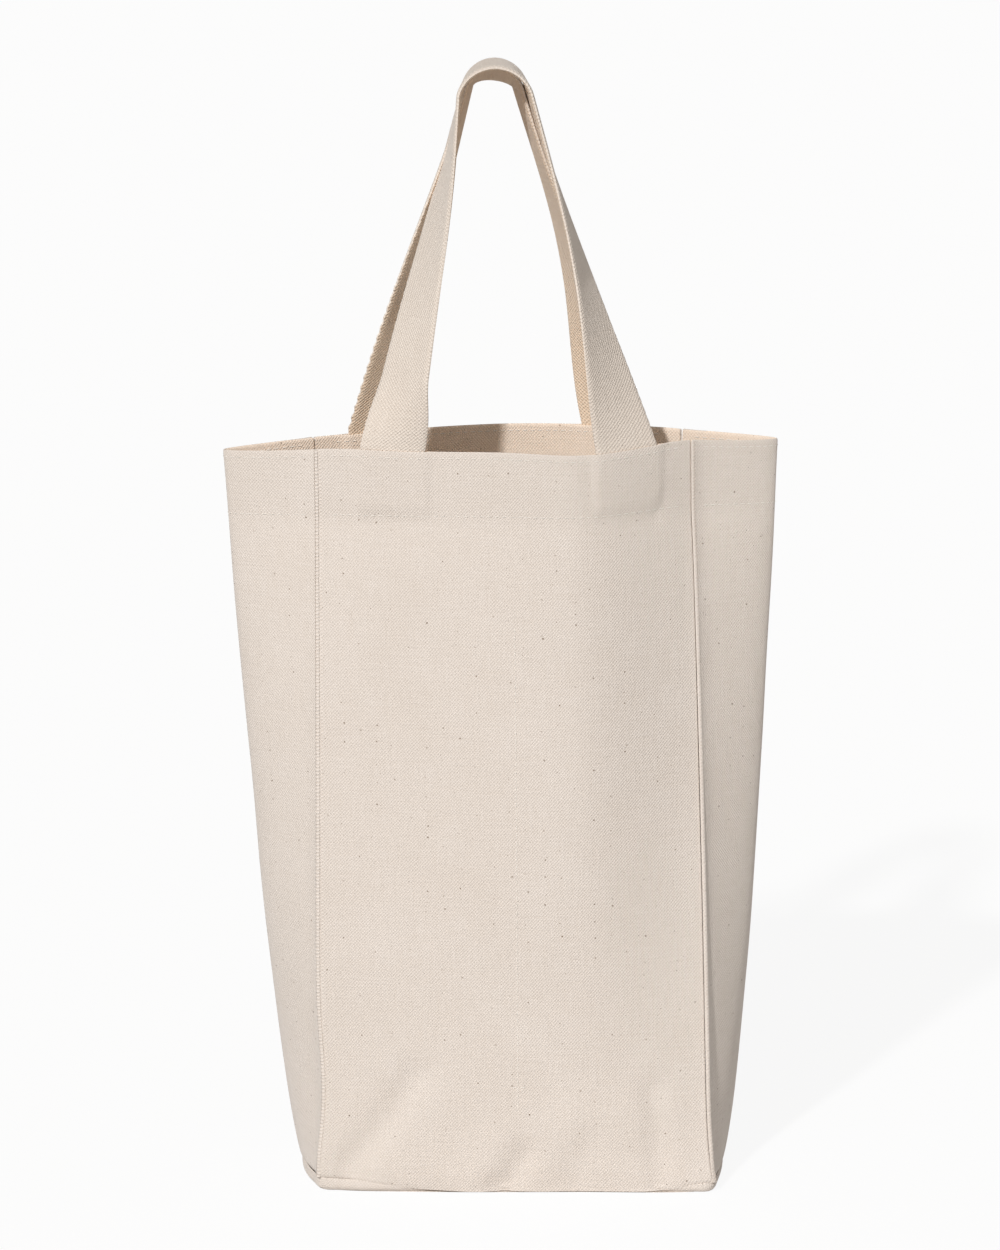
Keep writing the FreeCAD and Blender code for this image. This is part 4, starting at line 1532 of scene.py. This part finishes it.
@dataclass
class Studio:
    """The camera at the photograph's angle, soft light from the front left and a white floor."""

    azimuth: float = -2.5
    distance: float = 2.8
    height: float = 0.861
    tilt: float = 12.26
    lens: float = 183.0
    aside: float = -0.0036
    ambient: float = 0.2
    ambient_colour: tuple[float, float, float, float] = (1, 0.93, 0.85, 1)
    lamps: tuple[Lamp, ...] = (
        Lamp("key", 2.38, -25.0, 37.0, 3.0),
        Lamp("softbox", 0.3, -12.0, 35.0, 60.0),
        Lamp("fill", 0.3, 84.0, 9.0, 50.0),
    )
    lamp_distance: float = 2.0
    sensor: float = 36.0
    floor_reach: float = 30.0
    floor_grey: float = 0.8
    floor_white: float = 0.97
    floor_glow: float = 0.91
    floor_roughness: float = 0.9

    def build(self) -> None:
        """Makes the camera, the light and the floor."""
        scene = bpy.context.scene
        scene.view_settings.view_transform = "Standard"
        self.make_camera(scene)
        for lamp in self.lamps:
            lamp.build(self.lamp_distance)
        self.make_world(scene)
        self.make_floor()

    def make_camera(self, scene: bpy.types.Scene) -> None:
        """Puts the camera where the photograph was taken from."""
        camera = bpy.data.objects.new("camera", bpy.data.cameras.new("camera"))
        camera.data.sensor_width = self.sensor
        camera.data.lens = self.lens
        turn = math.radians(self.azimuth)
        camera.location = (
            math.sin(turn) * self.distance + self.aside, -math.cos(turn) * self.distance, self.height
        )
        camera.rotation_euler = (math.radians(90 - self.tilt), 0, turn)
        scene.collection.objects.link(camera)
        scene.camera = camera

    def make_world(self, scene: bpy.types.Scene) -> None:
        """Even light from all round, and white where the camera sees past the floor."""
        world = bpy.data.worlds.new("studio")
        scene.world = world
        world.use_nodes = True
        nodes, links = world.node_tree.nodes, world.node_tree.links
        background = nodes["Background"]
        colour = nodes.new("ShaderNodeMix")
        colour.data_type = "RGBA"
        colour.inputs[6].default_value = self.ambient_colour
        colour.inputs[7].default_value = (1, 1, 1, 1)
        links.new(colour.outputs[2], background.inputs["Color"])
        path = nodes.new("ShaderNodeLightPath")
        seen = nodes.new("ShaderNodeMath")
        seen.operation = "MAXIMUM"
        links.new(path.outputs["Is Camera Ray"], seen.inputs[0])
        links.new(path.outputs["Is Glossy Ray"], seen.inputs[1])
        strength = nodes.new("ShaderNodeMapRange")
        strength.inputs["To Min"].default_value = self.ambient
        strength.inputs["To Max"].default_value = 1.0
        links.new(seen.outputs[0], strength.inputs["Value"])
        links.new(seen.outputs[0], colour.inputs[0])
        links.new(strength.outputs[0], background.inputs["Strength"])

    def make_floor(self) -> None:
        """A wide white floor that keeps a soft shadow of the bag."""
        reach = self.floor_reach
        mesh = bpy.data.meshes.new("floor")
        corners = [(-reach, -reach, 0), (reach, -reach, 0), (reach, reach, 0), (-reach, reach, 0)]
        mesh.from_pydata(corners, [], [(0, 1, 2, 3)])
        floor = bpy.data.objects.new("floor", mesh)
        bpy.context.scene.collection.objects.link(floor)
        maker = NodeMaker("floor_white")
        path = maker.node("ShaderNodeLightPath")
        grey = (self.floor_grey, self.floor_grey, self.floor_grey, 1)
        white = (self.floor_white, self.floor_white, self.floor_white, 1)
        straight = maker.math("MAXIMUM", path.outputs["Is Camera Ray"], path.outputs["Is Glossy Ray"])
        colour = maker.mix(straight, grey, white)
        dull = {"Base Color": colour, "Roughness": self.floor_roughness, "Specular IOR Level": 0.0}
        mesh.materials.append(maker.finish(dull))
        glow = maker.node("ShaderNodeEmission", Strength=1.0)
        seen = maker.math("MULTIPLY", straight, self.floor_glow)
        blend = maker.node("ShaderNodeMixShader", Fac=seen)
        maker.join(maker.shader.outputs[0], blend.inputs[1])
        maker.join(glow.outputs[0], blend.inputs[2])
        maker.join(blend.outputs[0], maker.tree.nodes["Material Output"].inputs["Surface"])
        floor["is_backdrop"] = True


CANVAS = WovenFinish(
    name="natural_canvas",
    pale=(0.80, 0.723, 0.66, 1),
    warm=(0.72, 0.635, 0.56, 1),
    fleck=(0.17, 0.105, 0.06, 1),
    warp_pitch=0.72,
    weft_pitch=0.80,
    weave_depth=0.24,
    fleck_cell=7.5,
    fleck_size=0.52,
)
# Painted bounce light: a paler, warmer copy of the canvas for inner faces, facings and the divider, standing
# in for the warm light bounced about inside the bag
INSIDE_PAINTED_LIGHT = replace(
    CANVAS,
    name="canvas_inside_painted_light",
    pale=(0.95, 0.82, 0.70, 1),
    warm=(0.88, 0.735, 0.605, 1),
)
WEBBING = WovenFinish(
    name="natural_webbing",
    pale=(0.84, 0.75, 0.665, 1),
    warm=(0.745, 0.645, 0.555, 1),
    fleck=(0.25, 0.16, 0.10, 1),
    warp_pitch=0.95,
    weft_pitch=0.85,
    weave_depth=0.32,
    fleck_cell=14.0,
    fleck_size=0.5,
)
# Painted shade: a darker, warmer copy of the webbing for the straps' inner faces, standing in for their
# shaded undersides and the warm light bounced between them
WEBBING_INSIDE_PAINTED_SHADE = replace(
    WEBBING,
    name="webbing_inside_painted_shade",
    pale=(0.86, 0.70, 0.55, 1),
    warm=(0.76, 0.60, 0.45, 1),
)
FRONT_CREASES = (
    Crease((30, 31), (56, 31), 15.0, 2.2),
    Crease((30, 0), (52, 0), 9.0, -0.5),
    Crease((5, 18), (-4, 4), 6.0, -1.9),
    Crease((-8, 24), (-18, 6), 8.0, 0.8),
    Crease((-44, 54), (-72, 14), 8.0, -2.1),
    Crease((62, 46), (63, 4), 6.0, -1.5),
    Crease((34, 26), (26, 8), 8.0, -1.0),
    Crease((72, 312), (69, 306), 2.5, -0.7),
)


def finish_piece(
    obj: bpy.types.Object, slot: str, outer: bpy.types.Material, inner: bpy.types.Material | None = None
) -> bpy.types.Object:
    """Gives a piece its materials, and reports it with its slot.

    Args:
        obj: The piece.
        slot: The record's material slot.
        outer: The material of its outer face and edges.
        inner: The material of its inner face, where that differs.

    Returns:
        The piece.
    """
    obj.data.materials.append(outer)
    obj.data.materials.append(inner or outer)
    LOG.info("%s: %d faces, %s", obj.name, len(obj.data.polygons), slot)
    return obj


def main() -> None:
    """Builds the bag, its handles and sewing, and the studio round them."""
    logging.basicConfig(level=logging.INFO, format="%(message)s")
    form = BagForm()
    front, back = Side.FRONT, Side.BACK
    webbing = {
        front: Webbing(left=52.5, right=55.5, show_through=0.9),
        back: Webbing(left=55.5, right=55.5),
    }
    # inside is the canvas's painted bounce light copy, used on inner faces, facings and the divider
    canvas, inside = CANVAS.material(), INSIDE_PAINTED_LIGHT.material()
    # The straps' inner faces get the webbing's painted shade copy
    strap_cloth, strap_painted_shade = WEBBING.material(), WEBBING_INSIDE_PAINTED_SHADE.material()
    thread = ThreadFinish().material()
    panels, gussets, facings = {}, {}, {}
    for panel in (
        Panel(
            form, front, webbing[front], crest=0.32, crest_softness=0.38, creases=FRONT_CREASES,
            overhang=FRONT_OVERHANG, stands=(PRESSED, 1.0),
        ),
        Panel(form, back, webbing[back], crest=-0.1, crest_softness=0.9),
    ):
        obj, panels[panel.side] = panel.build()
        finish_piece(obj, "canvas", canvas, inside)
    for hand in Hand:
        stands = (1.0, PRESSED) if hand is Hand.LEFT else (1.0, 1.0)
        obj, gussets[hand] = Gusset(form, hand, stands=stands).build()
        finish_piece(obj, "canvas", canvas, inside)
    finish_piece(Base(form).build(), "canvas", canvas)
    for side in Side:
        facing = Facing(
            f"{side.word}_facing", form, panels[side], reach=85.4, straight=83.5, webbing=webbing[side]
        )
        obj, facings[side] = facing.build()
        finish_piece(obj, "canvas", inside)
    for hand in Hand:
        facing = Facing(f"{hand.word}_facing", form, gussets[hand], reach=45.9, straight=34.0)
        obj, facings[hand] = facing.build()
        finish_piece(obj, "canvas", inside)
    divider = finish_piece(Divider(form, panels[front], panels[back]).build(), "canvas", inside)
    for obj in Sewing(form, panels, gussets, facings).build():
        finish_piece(obj, "thread", thread)
    for handle in (
        Handle(
            form, front, panels[front], webbing[front], arch_radius=15.4, rise=169.7,
            arch_turns=(-9.0, 0.0), arch_cones=(0.0, 0.0, 0.0), twist_powers=(1.0, 2.2),
            bows=(0.0, 1.2), sways=(0.9, 0.0), flares=(0.36, 0.0), selvedge_depth=0.12,
        ),
        Handle(
            form, back, panels[back], webbing[back], arch_radius=13.2, rise=167.4,
            arch_turns=(0.0, 0.0), arch_cones=(10.0, 16.8, 2.5), twist_powers=(1.3, 2.4),
            bows=(1.5, 2.2), sways=(0.0, 0.0), flares=(0.0, 0.0), selvedge_depth=0.42,
        ),
    ):
        obj = finish_piece(handle.build(), "webbing", strap_cloth, strap_painted_shade)
    Studio().build()
    boxes = {"cad": CAD_BOX, "visual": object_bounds()}
    boxes = {name: [list(corner) for corner in box] for name, box in boxes.items()}


if __name__ == "__main__":
    main()
